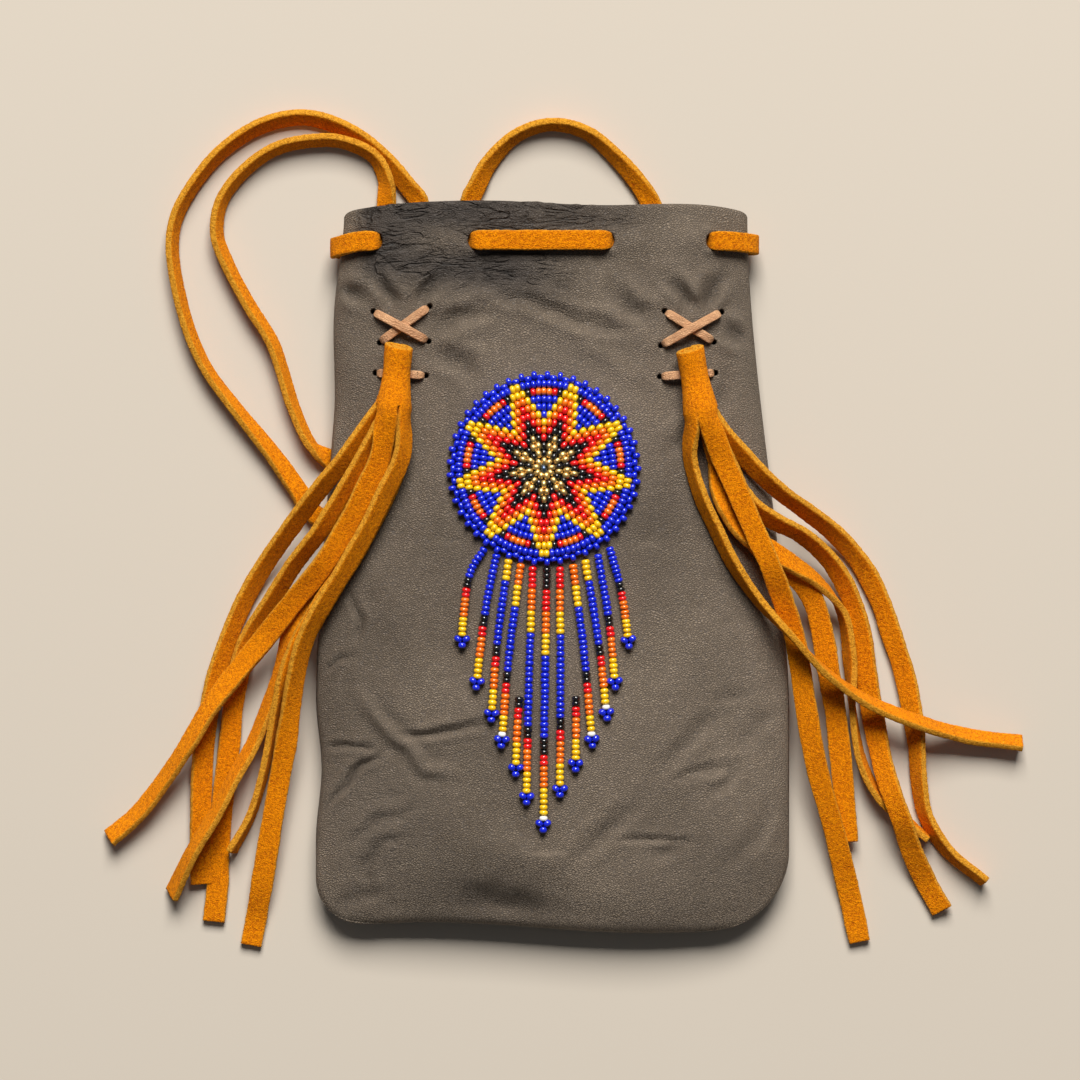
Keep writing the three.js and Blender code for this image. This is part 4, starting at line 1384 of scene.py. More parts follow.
@dataclass(frozen=True)
class Tie:
    """A tan lace that crosses over a tassel and holds it by a bar, by its holes in their order."""

    side: str
    holes: tuple
    bar_shares: tuple = (0.2, 0.84)
    bar_lift: float = 1.3
    inset: float = 1.0
    tail: float = 6.0
    upper_arm: int = 2
    cross_lift: float = 1.44
    bar: int = 4

    def turns(self) -> tuple[list[Vector], list[Vector]]:
        """Give the places where the lace bends through its holes, and the way from each along what shows.

        Returns:
            The places, and the ways in the same order.
        """
        centres = [Vector((x, y, 0.0)) for x, y in self.holes]
        mates = [centres[i + (-1 if i % 2 else 1)] for i in range(len(centres))]
        inwards = [(mate - centre).normalized() for centre, mate in zip(centres, mates)]
        return [centre + inward * self.inset for centre, inward in zip(centres, inwards)], inwards

    def bar_stops(self) -> list[Stop]:
        """Give the stops of the bar inside the tassel's head.

        Returns:
            The stops in order.
        """
        (ax, ay), (bx, by) = self.holes[self.bar : self.bar + 2]
        made = []
        for share in self.bar_shares:
            x, y = lerp(ax, bx, share), lerp(ay, by, share)
            made.append(Stop(x, y, z=FORM.front_height(x, y) + self.bar_lift, face=UP))
        return made

    def stops(self) -> list[Stop]:
        """Give the lace's stops: it bends through each hole round the leather's edge.

        Returns:
            The stops in order.
        """
        bend = FORM.leather / 2 + FORM.clearance + TIE_LACE.thickness / 2
        points, inwards = self.turns()

        def under(i: int, reach: float) -> Vector:
            """Give the place a reach inward from a bend."""
            return points[i] + inwards[i] * reach

        def inside(at: Vector) -> Stop:
            """Give a stop behind the front's leather."""
            return Stop(at.x, at.y, on=IN_FRONT, tilt=180)

        last = len(points) - 1
        made = [inside(under(0, self.tail))]
        for i, point in enumerate(points):
            rising = 1 if i % 2 == 0 else -1
            for turn in (-90, -45, 0, 45, 90):
                swing = math.radians(turn)
                foot = under(i, bend * (1 - math.cos(swing)))
                up = rising * math.sin(swing)
                face = UP * up - inwards[i] * math.cos(swing)
                made.append(Stop(foot.x, foot.y, z=FORM.front_middle(foot.x, foot.y) + bend * up, face=face))
            if i == last:
                break
            half = point.lerp(points[i + 1], 0.5)
            if i == self.bar:
                made.extend(self.bar_stops())
            elif rising > 0:
                lift = self.cross_lift if i == self.upper_arm else 0.0
                made.append(Stop(half.x, half.y, on=ON_FRONT, lift=lift))
            else:
                made.append(inside(under(i, self.tail - 2).lerp(under(i + 1, self.tail - 2), 0.5)))
        made.append(inside(under(last, self.tail)))
        return made

    def build(self, material: Material) -> None:
        """Make the tie's lace.

        Args:
            material: Its finish.
        """
        bm = bmesh.new()
        path = TIE_LACE.lay(self.stops())
        bends = tuple(path.run_near(point) for point in self.turns()[0])
        cut = RibbonCut(step=0.45, rounding=0.28, cross=4, nap=0.035, pinches=bends, pinch_reach=1.7,
                        pinch_share=0.4)
        Workshop.ribbon(bm, path, TIE_LACE, cut)
        piece = Workshop.finish(bm, f"tie_{self.side}", material, "tie_leather")
        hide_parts(f"tie_lace_{self.side}")


TIE_LEFT = Tie("left", ((-48.2, 62), (-34.2, 72), (-50, 70.7), (-34.5, 62.3), (-35.2, 52.8), (-49.4, 53.6)))
TIE_RIGHT = Tie("right", ((45, 62.2), (31.1, 70.7), (47.1, 70.6), (30.1, 61.1), (29.8, 52.5), (45.4, 53.6)))


@dataclass
class Laces:
    """The drawstring round the mouth and the carry strap, both of the same suede lace."""

    front_holes: ClassVar[tuple] = (-48.9, -22.0, 15.6, 44.3)
    front_ways: ClassVar[tuple] = (1, -1, 1, -1)
    back_holes: ClassVar[tuple] = (-51.0, -31.0)
    strap_holes: ClassVar[tuple] = (-46.9, -37.1)
    slot_run: float = 5.0
    strap_slot_from_mouth: float = 20.0
    bight_y: float = 20.5

    @staticmethod
    def dip(x: float, y: float, way: tuple[int, int], drop: int, middle: Height, face: Vector) -> list[Stop]:
        """Give the two stops at which a lace dips through the leather.

        Args:
            x: Place of the hole across the pouch.
            y: Place of the hole along the pouch.
            way: The way the lace runs in plan.
            drop: 1 where it goes down, -1 where it comes up.
            middle: Mid-height of the leather.
            face: The way the lace's face looks.

        Returns:
            The stops.
        """
        run, fall = 0.9, 1.8
        made = []
        for end in (-1, 1):
            z = middle(x, y) - end * drop * fall
            made.append(Stop(x + end * run * way[0], y + end * run * way[1], z=z, face=face))
        return made

    @staticmethod
    def wrap(side: int) -> list[Stop]:
        """Give the stops of the drawstring round a side edge, from the front to the back.

        Args:
            side: -1 for the left, 1 for the right.

        Returns:
            The stops in order.
        """
        y, seam, grip = FORM.lace_y, FORM.seam_height, 5.9
        edge = FORM.edge_x(y, side)
        out = Vector((side, 0.0, 0.0))
        over = FORM.front_height(edge - side * grip, y) + 1.7
        rows = (
            (grip, over, UP),
            (2.1, seam + 5.9, out + UP),
            (-0.9, seam + 3.3, out),
            (-2.1, seam, out),
            (-1.2, seam - 2.9, out),
            (1.9, 2.4, out + DOWN),
            (grip, 1.5, DOWN),
        )
        droop = 1.4 if side < 0 else 0.5
        return [Stop(edge - side * inward, y - droop * smoothstep(-inward, -grip, 2.1), z=z, face=face)
                for inward, z, face in rows]

    def drawstring(self) -> list[Stop]:
        """Give the drawstring's stops, from its right end inside the mouth to its left end there.

        Returns:
            The stops in order.
        """
        y, mouth, run = FORM.lace_y, FORM.mouth_y, self.slot_run
        first, second, third, fourth = self.front_holes
        outer, inner = self.back_holes
        arch = (
            (33, -10.3, 180), (29.5, -6.5, 178), (28.2, -0.8, 166), (25.2, 4.6, 144), (18.2, 12.9, 128),
            (9.4, 20.2, 112), (-0.7, 22.4, 108), (-10.2, 19.2, 112), (-18, 11.3, 128), (-21.4, 4.8, 142),
            (-23.1, 1.2, 154), (-22.8, -2.5, 172), (-23.2, -7.5, 180), (-26, -10.7, 180),
        )
        right, left = (1, 0), (-1, 0)
        return [
            *[Stop(x, y, on=IN_FRONT) for x in (30.4, fourth - run)],
            *self.dip(fourth, y, right, -1, FORM.front_middle, UP),
            *self.wrap(1),
            Stop(39, y, on=ON_TABLE, tilt=180),
            *[Stop(x, mouth + past, on=ON_TABLE, tilt=tilt) for x, past, tilt in arch],
            *self.dip(inner, y, left, -1, FORM.back_middle, DOWN),
            *[Stop(x, y, on=IN_BACK, tilt=180) for x in (inner - run, outer + run)],
            *self.dip(outer, y, left, 1, FORM.back_middle, DOWN),
            *reversed(self.wrap(-1)),
            *self.dip(first, y, right, 1, FORM.front_middle, UP),
            *[Stop(x, y, on=IN_FRONT) for x in (first + run, (first + second) / 2, second - run)],
            *self.dip(second, y, right, -1, FORM.front_middle, UP),
            *[Stop(x, y, on=ON_FRONT) for x in (second + run, (second + third) / 2, third - run)],
            *self.dip(third, y, right, 1, FORM.front_middle, UP),
            *[Stop(x, y, on=IN_FRONT) for x in (third + run, 29.6)],
        ]

    def strap_foot(self, x: float) -> list[Stop]:
        """Give the stops of a strap end, from inside the pouch out through the back.

        Args:
            x: Place of the strap's hole across the pouch.

        Returns:
            The stops in order.
        """
        y = FORM.mouth_y - self.strap_slot_from_mouth
        return [
            Stop(x, y - 9.5, on=IN_BACK, tilt=180),
            Stop(x, y - self.slot_run, on=IN_BACK, tilt=180),
            *self.dip(x, y, (0, 1), 1, FORM.back_middle, DOWN),
            Stop(x, y + self.slot_run, on=ON_TABLE, tilt=180),
        ]

    def strap(self) -> list[Stop]:
        """Give the carry strap's stops: out of the back, round the loop, under the left edge and home.

        Returns:
            The stops in order.
        """
        bight_x = FORM.edge_x(self.bight_y, -1)
        going = (
            (-46.9, 95, 180), (-46.8, 98.8, 176), (-46.7, 102.6, 152), (-46.9, 108.4, 126),
            (-50.2, 114.8, 115), (-58.5, 118.9, 111), (-65.7, 119.5, 110), (-77.5, 117.2, 110),
            (-86.7, 110.8, 110), (-93.1, 102.1, 110), (-94.3, 92.9, 112), (-91.5, 85, 114),
            (-85.3, 73.2, 114), (-78.9, 62.9, 114), (-76.1, 55, 114), (-72.7, 44.1, 112), (-67.1, 32.9, 108),
        )
        bight = ((2.5, 8.2, 178), (7.8, 5.8, 180), (10, 0, 180), (7.2, -6.6, 180), (1.5, -8.2, 182))
        coming = (
            (-67.5, 14.8, 192), (-71.5, 21, 212), (-78.9, 31.5, 230), (-88.4, 43.3, 245), (-97.1, 55, 250),
            (-101.8, 65.1, 250), (-105.2, 77.2, 250), (-106.9, 88.9, 250), (-106, 96.8, 250),
            (-102.4, 104.6, 248), (-93.1, 116.2, 246), (-81.4, 123.7, 240), (-69.6, 125.9, 236),
            (-57.6, 122.2, 236), (-47.9, 115, 230), (-40.6, 106.4, 220), (-37.6, 102.3, 204),
            (-37.1, 95, 180),
        )
        tucked = tuple((bight_x + inward, self.bight_y + past, tilt) for inward, past, tilt in bight)
        rows = going + tucked + coming
        first, second = self.strap_holes
        return [
            *self.strap_foot(first),
            *[Stop(x, y, on=ON_TABLE, tilt=tilt) for x, y, tilt in rows],
            *reversed(self.strap_foot(second)),
        ]

    def build(self, material: Material) -> None:
        """Args:
            material: Their finish.
        """
        for name, stops in (("drawstring", self.drawstring()), ("carry_strap", self.strap())):
            path = SUEDE_LACE.lay(stops)
            bm = bmesh.new()
            slots = [Vector((x, FORM.lace_y, 0.0)) for x in self.front_holes] if name == "drawstring" else []
            Workshop.ribbon(bm, path, SUEDE_LACE, RibbonCut(pinches=tuple(path.run_near(at) for at in slots)))
            piece = Workshop.finish(bm, f"{name}_suede", material, "suede")
            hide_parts(name)
            route = path.metres()
            LOG.info("%s is %.0f mm long", name, path.length)


@dataclass
class Tassel:
    """A strip of suede slit into thongs and rolled into a head."""

    side: str
    head: tuple
    thongs: tuple
    lap_turns: tuple
    lap_shares: tuple = (0.82, 1.0, 1.16)
    top_lean: float = 0.03
    top_slant: float = 0.055
    slanted: float = 0.3
    top_radius: float = 4.0
    foot_radius: float = 5.0
    roll_turns: float = 1.8
    roll_steps: int = 36

    def axis_height(self, x: float, y: float, radius: float) -> float:
        """Find the height of the head's axis, clear of the leather under its whole width.

        Args:
            x: Place across the pouch.
            y: Place along the pouch.
            radius: Radius of the head there.

        Returns:
            The height in millimetres.
        """
        clear = [
            FORM.front_height(x + share * radius, y) + math.sqrt(radius**2 - (share * radius) ** 2)
            for share in (-0.5, 0.0, 0.5)
        ]
        return max(clear) + FORM.clearance

    def spot(self, share: float) -> tuple[Vector, float]:
        """Give the head's middle and its radius at a share of its length from the top.

        Args:
            share: Share of the head's length from its top.

        Returns:
            The middle and the radius.
        """
        (top_x, top_y), (foot_x, foot_y) = self.head
        x, y = lerp(top_x, foot_x, share), lerp(top_y, foot_y, share)
        waist = 0.25 * hump(share, 0.55, 0.5)
        radius = lerp(self.top_radius, self.foot_radius, smoothstep(share, 0.3, 1.1)) - waist
        return Vector((x, y, self.axis_height(x, y, radius))), radius

    @property
    def along(self) -> Vector:
        """The way from the head's top to its foot."""
        (top_x, top_y), (foot_x, foot_y) = self.head
        return Vector((foot_x - top_x, foot_y - top_y, 0.0)).normalized()

    def roll(self, bm: BMesh) -> None:
        """Add the head: a strip wound into a spiral with its loose edge underneath.

        Args:
            bm: The mesh that takes the head.
        """
        (top_x, top_y), (foot_x, foot_y) = self.head
        span = math.hypot(foot_x - top_x, foot_y - top_y)
        places, faces = [], []
        wall = THONG.thickness
        for i in range(self.roll_steps + 1):
            share = i / self.roll_steps
            swing = 360 * self.roll_turns * share
            turn = math.radians(swing - 80)
            radius = self.foot_radius - wall / 2 - wall * smoothstep(swing, 270, 400)
            radius -= 0.6 * smoothstep(swing, 400, 650)
            out = Vector((math.cos(turn), math.sin(turn), 0.0))
            places.append(out * max(0.8, radius))
            faces.append(out)
        part = bmesh.new()
        cut = RibbonCut(step=0.7, rounding=0.4, cross=24, ragged=0.0, nap=0.0)
        Workshop.ribbon(part, StripPath(places, faces), Lace(span, wall - 0.1), cut)
        aside = UP.cross(self.along)
        for vert in part.verts:
            share = clamp(0.5 - vert.co.z / span)
            slant = self.top_lean * vert.co.x + self.top_slant * vert.co.y
            lean = slant / self.foot_radius if share < self.slanted else 0.0
            middle, radius = self.spot(share + lean * (self.slanted - share) / self.slanted)
            grow = radius / self.foot_radius
            vert.co = middle + aside * (vert.co.x * grow) + UP * (vert.co.y * grow)
        bmesh.ops.recalc_face_normals(part, faces=part.faces)
        Workshop.roughen(part, 0.1, 1.25, 2.9, 0.7)
        Workshop.append(bm, part)

    def lap_stops(self, turn: float) -> list[Stop]:
        """Give a thong's stops where it is still part of the rolled head.

        Args:
            turn: How far round the head it lies, from the top toward the right.

        Returns:
            The stops.
        """
        aside = UP.cross(self.along)
        out = aside * math.sin(math.radians(turn)) + UP * math.cos(math.radians(turn))
        made = []
        for share in self.lap_shares:
            sink = 1.4 * max(0.0, share - 1.0) + 1.3 * (1 - smoothstep(share, 0.5, 0.95))
            middle, radius = self.spot(share)
            at = middle + out * (radius - THONG.thickness / 2 - sink)
            made.append(Stop(at.x, at.y, z=at.z, face=out))
        return made

    def build(self, material: Material) -> None:
        """Make the tassel as one cut piece of suede.

        Args:
            material: Its finish.
        """
        bm = bmesh.new()
        self.roll(bm)
        middle, radius = self.spot(0.75)
        for i, points in enumerate(self.thongs):
            turn = self.lap_turns[i]
            if turn is None:
                route = [Stop(middle.x + (i - 2.5) * 0.5, middle.y, z=middle.z, face=UP)]
            else:
                route = self.lap_stops(turn)
            for x, y, tilt, *lift in points:
                route.append(Stop(x, y, on=DRAPED, tilt=tilt, lift=lift[0] if lift else 0.0))
            cut = RibbonCut(ragged=0.09, curl_radius=0.0 if turn is None else radius, uncut=5.0)
            Workshop.ribbon(bm, THONG.lay(route), THONG, cut)
        piece = Workshop.finish(bm, f"tassel_{self.side}_suede", material, "suede")
        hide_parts(f"tassel_{self.side}")


LEFT_TASSEL = Tassel(
    "left",
    ((-42.6, 61.0), (-44.0, 44.1)),
    (
        ((-46.6, 44.6, -46), (-50.3, 40, -50), (-57.5, 30, -48), (-65.9, 20, -48), (-73.6, 10, -46),
         (-80.8, 0, -50), (-86.6, -10, -50), (-90.9, -20, -46), (-94.2, -30, -38), (-96.4, -40, -32),
         (-98, -50, -28), (-98.7, -60, -28), (-99, -70, -24), (-99.2, -80, -14), (-98.8, -89.8, -10)),
        ((-46.6, 40.6, -45), (-48.6, 37, -52), (-53, 29, -52), (-58.4, 20, -52), (-64.5, 10, -50),
         (-72.4, 0, -50), (-78.8, -10, -50), (-85.2, -20, -46), (-88.2, -30, -30), (-89.9, -40, -20),
         (-90.9, -50, -14), (-92.2, -60, -10), (-93.2, -70, -6), (-93.8, -80, 0), (-94.3, -90, 0),
         (-95.4, -100.3, 0)),
        ((-47.8, 30, -16, 3.6), (-52.4, 20, -18, 3.2), (-57.7, 10, -20, 2.7), (-63.9, 0, -20, 2.9),
         (-72.2, -10, -6, 3.4), (-80.2, -20, 8, 5.5), (-88.4, -30, 26, 6.5), (-96, -40, 40, 6.5),
         (-102, -50, 48, 5.5), (-108.8, -60, 50, 2.5), (-116.7, -70, 48, 0.6), (-124.6, -76.8, 44)),
        ((-41.8, 30, -48, 2.6), (-46.4, 20, -48, 2.8), (-51.3, 10, -46, 2.6), (-57, 0, -45, 2.4),
         (-63.2, -10, -46, 2.4), (-68.6, -20, -50, 2.4), (-71.4, -30, -50, 1.2), (-73.1, -40, -34),
         (-74.6, -50, -14), (-76.5, -60, -4), (-78.3, -70, 0), (-80, -80, 0), (-81.7, -90, 0),
         (-83.5, -100, 0), (-84.9, -107, 0)),
        ((-47.5, 30, -8), (-52.4, 20, -8), (-57.6, 10, -8), (-63, 1, 0), (-68.5, -8, 25), (-73.2, -18, 50),
         (-76.2, -30, 58), (-79.9, -40, 58, 1), (-84, -50, 58, 2.5), (-89.5, -60, 61, 5),
         (-94.6, -70, 62, 5.5), (-100.7, -80, 60, 5), (-107, -92.6, 54)),
        ((-42.8, 30, -8), (-46.6, 20, -8), (-51.5, 10, -8), (-57.4, 0, -8), (-63.6, -10, -8),
         (-69.4, -20, -15), (-73.6, -29, -45), (-77, -39, -76), (-79.3, -50, -82), (-81.5, -60, -83),
         (-84.6, -70, -82), (-90.2, -80.5, -76)),
    ),
    (None, None, -28, 66, None, None),
)
RIGHT_TASSEL = Tassel(
    "right",
    ((38.0, 60.1), (41.0, 43.0)),
    (
        ((44.4, 40.6, 45), (47.6, 36.4, 48), (54, 29.4, 48), (58.8, 24.5, 50), (64.3, 19.8, 50),
         (70.5, 15.5, 48), (80, 8.2, 46), (87, 0, 40), (92.2, -10, 32), (95.6, -20, 28), (98.9, -30, 26),
         (101, -40, 32), (102.4, -50, 52), (103, -60, 60), (104.8, -70, 64), (110.8, -80, 68),
         (121.6, -89, 72)),
        ((45.6, 34, 45), (48.6, 28.6, 48), (52, 21.2, 50), (56.4, 15.9, 50), (62.5, 11.9, 50),
         (70, 8.2, 50), (78.8, 0, 48), (84.2, -10, 40), (86.9, -20, 30), (88.3, -30, 24), (89.8, -40, 22),
         (93, -57, 25, 3), (95.4, -65, 25, 6), (97.8, -71.5, 25, 6.3), (100.8, -80, 22, 3),
         (105.3, -89.4, 20), (109.7, -97.2, 18)),
        ((47, 30, 10, 3.8), (51.5, 20, 10, 4.2), (55.8, 10, 10, 5.2), (60.3, 0, 12, 5.6),
         (64.2, -10, 14, 2.2), (67.5, -20, 14), (69.3, -30, 12), (70.8, -40, 10), (74.2, -57.6, 6),
         (78.9, -74.1, 4), (83.7, -93.1, 4), (86.5, -106, 4)),
        ((38.1, 30, 66), (40.8, 20, 65), (45.1, 10.5, 64), (50.4, 0, 68), (57.4, -10, 75, 0.8),
         (66, -19.2, 90, 4.8), (75.3, -29, 100, 6.5), (87.3, -37.6, 112, 6.5), (101.5, -43.6, 120, 5.5),
         (116.7, -48, 122, 0.5), (132.1, -50, 122)),
        ((46, 31, -8), (46.4, 22.5, -20), (48.4, 15.5, -44), (51.6, 10.4, -48), (56.4, 6.6, -36, 0.4),
         (61, 4, -26, 1.6), (66, 0.9, -42, 2.2), (74.4, -4.7, -66, 2.2), (81.2, -13, -102, 0.6),
         (83.6, -27, -114), (84.4, -41, -84), (87, -55.3, -72), (92.6, -66, -75), (101, -73, -80),
         (105.5, -76.9, -84)),
        ((46, 30, 10), (50, 20, 10), (58, 5, 10), (68, -3, 10), (73, -10, 10), (75.8, -20, 12),
         (77.4, -30, 10), (79.2, -40, 8), (81.4, -59, 5), (82.9, -77.7, 5)),
    ),
    (None, None, 25, -61, None, None),
    top_lean=-0.025,
)


@dataclass
class BeadTray:
    """Seed beads laid out by colour, then made into one piece for each colour."""

    slot: str
    prefix: str
    radius: float = 1.16
    long: float = 1.5
    hole: float = 0.3
    sway: float = 0.07
    stray: float = 0.06
    seed: int = 7
    beads: dict = field(default_factory=dict)

    def __post_init__(self) -> None:
        """Start the tray's own draws."""
        self._draw = random.Random(self.seed)

    def lay(self, shade: BeadColour, at: Vector, axis: Vector, size: float = 1.0, long: float = 1.0) -> None:
        """Lay a bead with its hole along an axis.

        Args:
            shade: Colour of the bead.
            at: Its middle in millimetres.
            axis: The way its hole runs.
            size: Its size against the usual bead.
            long: Its length against the usual bead.
        """
        draw = self._draw
        sway = Vector((draw.uniform(-1, 1), draw.uniform(-1, 1), draw.uniform(-1, 1))) * self.sway
        turn = (axis.normalized() + sway).normalized().to_track_quat("Z", "Y").to_matrix().to_4x4()
        grow = size * draw.uniform(0.95, 1.05)
        scale = Matrix.Diagonal((grow, grow, long * draw.uniform(0.93, 1.05), 1.0))
        stray = Vector((draw.uniform(-1, 1), draw.uniform(-1, 1), 0.5 * draw.uniform(-1, 1))) * self.stray
        place = Matrix.Translation(at + stray) @ turn @ scale
        self.beads.setdefault(shade, []).append((place, draw.uniform(0.25, 0.85)))

    def pattern(self) -> Mesh:
        """Turn one bead: a rounded ring with a fine hole.

        Returns:
            The bead's mesh.
        """
        hole, half = self.hole * self.radius, self.long / 2
        section = [(hole, -0.82 * half), (hole, 0.82 * half)]
        for lean in (72, 40, 13, -13, -40, -72):
            turn = math.radians(lean)
            section.append((hole + 0.71 * self.radius * math.cos(turn) ** 0.75, 1.06 * half * math.sin(turn)))
        bm = bmesh.new()
        ring = [bm.verts.new((out, 0.0, along)) for out, along in section]
        edges = [bm.edges.new((a, b)) for a, b in zip(ring, ring[1:] + ring[:1])]
        bmesh.ops.spin(bm, geom=ring + edges, cent=(0, 0, 0), axis=(0, 0, 1), angle=2 * math.pi, steps=10,
                       use_merge=True)
        bmesh.ops.remove_doubles(bm, verts=bm.verts, dist=1e-4)
        bmesh.ops.recalc_face_normals(bm, faces=bm.faces)
        bm.faces.layers.float.new("bead_tone")
        return Workshop.to_mesh(bm, "bead_pattern")

    def build(self) -> list[Object]:
        """Make a piece of each colour's beads.

        Returns:
            The pieces.
        """
        pattern = self.pattern()
        made = []
        for shade in BeadColour:
            if shade not in self.beads:
                continue
            bm = bmesh.new()
            bm.faces.layers.float.new("bead_tone")
            for place, tone in self.beads[shade]:
                copy = pattern.copy()
                copy.transform(place)
                copy.attributes["bead_tone"].data.foreach_set("value", [tone] * len(copy.polygons))
                bm.from_mesh(copy)
                bpy.data.meshes.remove(copy)
            name = f"{self.prefix}_{shade.name.lower()}_beads"
            made.append(Workshop.finish(bm, name, BEAD_FINISHES[shade].material(), self.slot))
        bpy.data.meshes.remove(pattern)
        return made


@dataclass
class Rosette:
    """The round beaded star: rows of beads sewn on a backing, with a stand-out edging."""

    x: float = -2.4
    y: float = 26.9
    rows: int = 11
    arms: int = 9
    pitch: float = 2.14
    backing: float = 0.9
    bead_height: float = 0.55
    picots: int = 45
    picot_out: float = 1.35
    picot_height: float = 1.15
    foot_out: float = 0.6
    foot_height: float = 1.0
    foot_size: float = 0.96

    @property
    def reach(self) -> float:
        """Radius of the backing."""
        return (self.rows + 0.5) * self.pitch

    def on(self, radius: float, turn: float, height: float) -> Vector:
        """Give a place on the rosette at a radius and a turn, over the leather by a height."""
        x, y = self.x + radius * math.cos(turn), self.y + radius * math.sin(turn)
        return Vector((x, y, FORM.front_height(x, y) + FORM.clearance + height))

    @staticmethod
    def shade(row: int, off: float) -> BeadColour:
        """Choose a bead's colour.

        Args:
            row: Row of the bead, from 1 at the middle.
            off: Beads between it and the nearest arm of the star.

        Returns:
            The colour.
        """
        if row == 1:
            return BeadColour.GOLD
        if row == 2:
            return BeadColour.GOLD if off < 0.5 else BeadColour.BLACK
        if row == 10:
            return BeadColour("yykroo"[min(5, round(off))])
        if row == 11:
            return BeadColour.YELLOW if off < 1 else BeadColour.BLUE
        ring = row + 2 * off
        for limit, letter in zip((4, 6, 8, 10, 12), "gkroy"):
            if ring <= limit + 0.5:
                return BeadColour(letter)
        return BeadColour.BLUE

    def disc(self) -> Object:
        """Make the backing that carries the beads.

        Returns:
            The piece.
        """
        bm = bmesh.new()
        bmesh.ops.create_circle(bm, cap_ends=True, cap_tris=True, segments=72, radius=self.reach)
        spokes = [edge for edge in bm.edges if not edge.is_boundary]
        bmesh.ops.subdivide_edges(bm, edges=spokes, cuts=4, use_grid_fill=True)
        top = bmesh.ops.extrude_face_region(bm, geom=list(bm.faces))
        lifted = {vert for vert in top["geom"] if isinstance(vert, BMVert)}
        for vert in bm.verts:
            radius, turn = vert.co.xy.length, math.atan2(vert.co.y, vert.co.x)
            vert.co = self.on(radius, turn, self.backing if vert in lifted else 0.0)
        bmesh.ops.recalc_face_normals(bm, faces=bm.faces)
        cloth = TieFinish("backing_cloth", colour(26, 30, 60), colour(14, 16, 36)).material()
        return Workshop.finish(bm, "rosette_backing", cloth, "rosette_beads")

    def build(self) -> None:
        """Make the backing, the rows and the edging."""
        tray = BeadTray("rosette_beads", "rosette", radius=self.pitch / 2 + 0.11)
        lie = self.backing + self.bead_height
        tray.lay(BeadColour.STEEL, self.on(0, 0, lie + 0.2), Vector((1, 0.3, 0)), 1.1)
        for row in range(1, self.rows + 1):
            beads = self.arms * row
            for bead in range(beads):
                place = bead + (0.5 if row % 2 else 0.0)
                turn = math.radians(-90) + 2 * math.pi * place / beads
                off = min(place % row, row - place % row)
                axis = Vector((-math.sin(turn), math.cos(turn), 0.0))
                tray.lay(self.shade(row, off), self.on(row * self.pitch, turn, lie), axis)
        for piece in (self.disc(), *tray.build()):
            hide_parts("rosette")
        edge = BeadTray("edging_beads", "edging", seed=11)
        for picot in range(self.picots):
            turn = 2 * math.pi * picot / self.picots
            axis = Vector((-math.sin(turn), math.cos(turn), 0.0))
            edge.lay(BeadColour.BLUE, self.on(self.reach + self.picot_out, turn, self.picot_height), axis)
            half = turn + math.pi / self.picots
            axis = Vector((math.cos(half), math.sin(half), 0.0))
            foot = self.on(self.reach + self.foot_out, half, self.foot_height)
            edge.lay(BeadColour.BLUE, foot, axis, self.foot_size)
        for piece in edge.build():
            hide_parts("rosette_edging")


@dataclass(frozen=True)
class Strand:
    """A thread of beads: its route on the front and its colours in order."""

    route: tuple
    colours: str

    def shades(self) -> list[BeadColour]:
        """Spell out the colours, written as a letter and a count.

        Returns:
            The colours, one for each bead.
        """
        made: list[BeadColour] = []
        for word in self.colours.split():
            made += [BeadColour(word[0])] * int(word[1:])
        return made


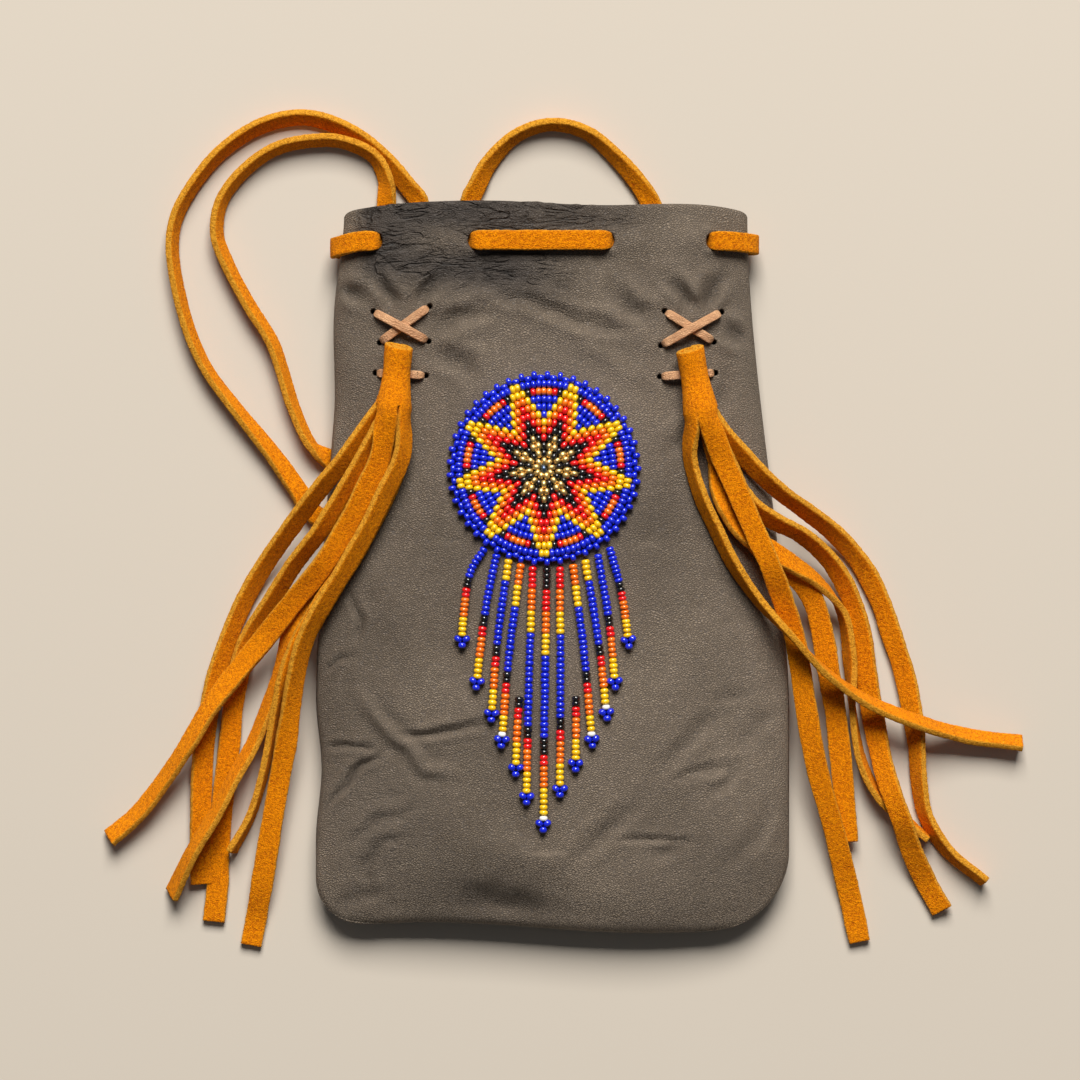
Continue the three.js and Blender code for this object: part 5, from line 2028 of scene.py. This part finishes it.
@dataclass
class Fringe:
    """The bead strands under the rosette, each ending in three beads."""

    trefoil: float = 3.1
    trefoil_beads: tuple = ((-1.1, 0.2), (1.1, 0.2), (0.0, 2.0))
    bead_height: float = 0.85
    strands: tuple = (
        Strand(((-18.8, 4.9), (-22.7, -1.6), (-24.8, -14.6), (-25.2, -22.8)), "b7 k2 r2 o4 y4"),
        Strand(((-15.5, 3.3), (-18.7, -12.6), (-21.3, -34.5)), "b12 k2 r2 o4 y4"),
        Strand(((-12.2, 1.8), (-15.2, -20), (-17.1, -43.4)), "y4 b12 k2 r2 o4 y4"),
        Strand(((-8.8, 0.6), (-12, -24), (-14.3, -50.7)), "o4 y4 b12 k2 r2 o4 y3 w1"),
        Strand(((-5.5, -0.2), (-6.6, -33), (-7.3, -66.4)), "r4 o4 y4 b17 k2 r2 o4 y4"),
        Strand(((-1.6, -0.5), (-2.2, -37), (-2.6, -74)), "k4 r4 o4 y4 b15 k3 r2 o4 y5 w1"),
        Strand(((2, -0.3), (2.2, -32), (2, -64.3)), "r4 o4 y4 b15 k2 r2 o4 y4"),
        Strand(((5.6, 0.5), (8.8, -25), (11.1, -50.6)), "o4 y4 b12 k2 r2 o4 y3 w1"),
        Strand(((9, 1.7), (12.6, -20), (15.2, -43.1)), "y4 b12 k2 r2 o4 y3 w1"),
        Strand(((12.5, 3.2), (15.6, -15), (17.5, -34.5)), "b12 k2 r2 o4 y4"),
        Strand(((15.8, 5.2), (19.2, -8), (21.3, -23)), "b8 k2 r2 o4 y4"),
        Strand(((-9.3, -36.3), (-9.9, -47), (-10.3, -58.5)), "k2 r2 o4 y4"),
        Strand(((6.4, -36.1), (6.5, -47), (6.3, -57.2)), "k2 r2 o4 y4"),
    )

    def build(self) -> None:
        """Make the strands, one piece for each colour."""
        tray = BeadTray("strand_beads", "fringe", radius=1.2, seed=23)
        for strand in self.strands:
            points = [Vector((x, y, 0.0)) for x, y in strand.route]
            path = StripPath(points, [UP] * len(points))
            shades = strand.shades()
            beaded = path.length - self.trefoil
            step = beaded / len(shades)
            for i, shade in enumerate(shades):
                frame = path.frame_at((i + 0.5) * step / path.length)
                tray.lay(shade, self.rest(frame.at), frame.along, 1.0, min(1.08, step / tray.long))
            end = path.frame_at((beaded + 0.45) / path.length)
            aside = end.along.cross(UP)
            for out, ahead in self.trefoil_beads:
                place = end.at + aside * out + end.along * ahead
                axis = end.along if out == 0 else end.along + aside * (0.5 * out)
                tray.lay(BeadColour.BLUE, self.rest(place), axis, 0.96, 1.1)
        nodes = [f"bead_strand_{i + 1:02d}" for i in range(len(self.strands))]
        for piece in tray.build():
            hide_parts(*nodes)

    def rest(self, at: Vector) -> Vector:
        """Set a bead down on the front."""
        return Vector((at.x, at.y, FORM.front_height(at.x, at.y) + FORM.clearance + self.bead_height))


@dataclass
class Studio:
    """The plain floor, the soft light and the overhead camera."""

    middle: tuple[float, float] = (-0.0035, 0.0071)
    view_width: float = 0.3025
    camera_height: float = 1.2
    sharp_height: float = 0.008
    sensor: float = 36.0
    floor_half: float = 4.0
    floor_paint: Colour = colour(202, 192, 178)
    lamp_place: tuple[float, float, float] = (0.16, 2.66, 2.74)
    lamp_power: float = 251.0
    lamp_size: float = 2.08
    lamp_tint: tuple[float, float, float] = (1.0, 0.98, 0.95)
    sky: Colour = (0.95, 0.97, 1.0, 1.0)
    sky_strength: float = 0.08

    def floor(self) -> None:
        """Lay the pale floor."""
        bm = bmesh.new()
        bmesh.ops.create_grid(bm, x_segments=1, y_segments=1, size=self.floor_half)
        material = bpy.data.materials.new("floor_paint")
        material.use_nodes = True
        board = NodeBoard(material.node_tree)
        looks = {"Base Color": self.floor_paint, "Roughness": 0.7, "Specular IOR Level": 0.2}
        board.feed(material.node_tree.nodes["Principled BSDF"], looks)
        Workshop.place(bm, "floor", material)

    def lamp(self) -> None:
        """Hang a square soft lamp that faces the pouch."""
        data = bpy.data.lights.new("window", "AREA")
        data.energy, data.size, data.color = self.lamp_power, self.lamp_size, self.lamp_tint
        lamp = bpy.data.objects.new("window", data)
        lamp.location = self.lamp_place
        lamp.rotation_euler = (-Vector(self.lamp_place)).to_track_quat("-Z", "Y").to_euler()
        bpy.context.collection.objects.link(lamp)

    def world(self) -> None:
        """Set the faint light of the sky."""
        world = bpy.data.worlds.new("studio")
        bpy.context.scene.world = world
        world.use_nodes = True
        looks = {"Color": self.sky, "Strength": self.sky_strength}
        NodeBoard(world.node_tree).feed(world.node_tree.nodes["Background"], looks)

    def camera(self) -> None:
        """Hang the camera over the pouch."""
        data = bpy.data.cameras.new("overhead")
        data.sensor_width = self.sensor
        data.lens = self.sensor * (self.camera_height - self.sharp_height) / self.view_width
        data.clip_start = 0.01
        camera = bpy.data.objects.new("overhead", data)
        camera.location = (*self.middle, self.camera_height)
        bpy.context.collection.objects.link(camera)
        bpy.context.scene.camera = camera

    def build(self) -> None:
        """Set up the floor, the lamp, the world and the camera."""
        self.floor()
        self.lamp()
        self.world()
        self.camera()
        bpy.context.scene.view_settings.view_transform = "Standard"


def main() -> None:
    """Dress the pouch."""
    logging.basicConfig(level=logging.INFO, format="%(message)s")
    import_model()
    Studio().build()
    suede = SuedeFinish("suede_nap").material()
    Laces().build(suede)
    tan = TieFinish("tie_tan").material()
    for tie in (TIE_LEFT, TIE_RIGHT):
        tie.build(tan)
    for tassel in (LEFT_TASSEL, RIGHT_TASSEL):
        tassel.build(suede)
    LeatherShell().build()
    Rosette().build()
    Fringe().build()


if __name__ == "__main__":
    main()
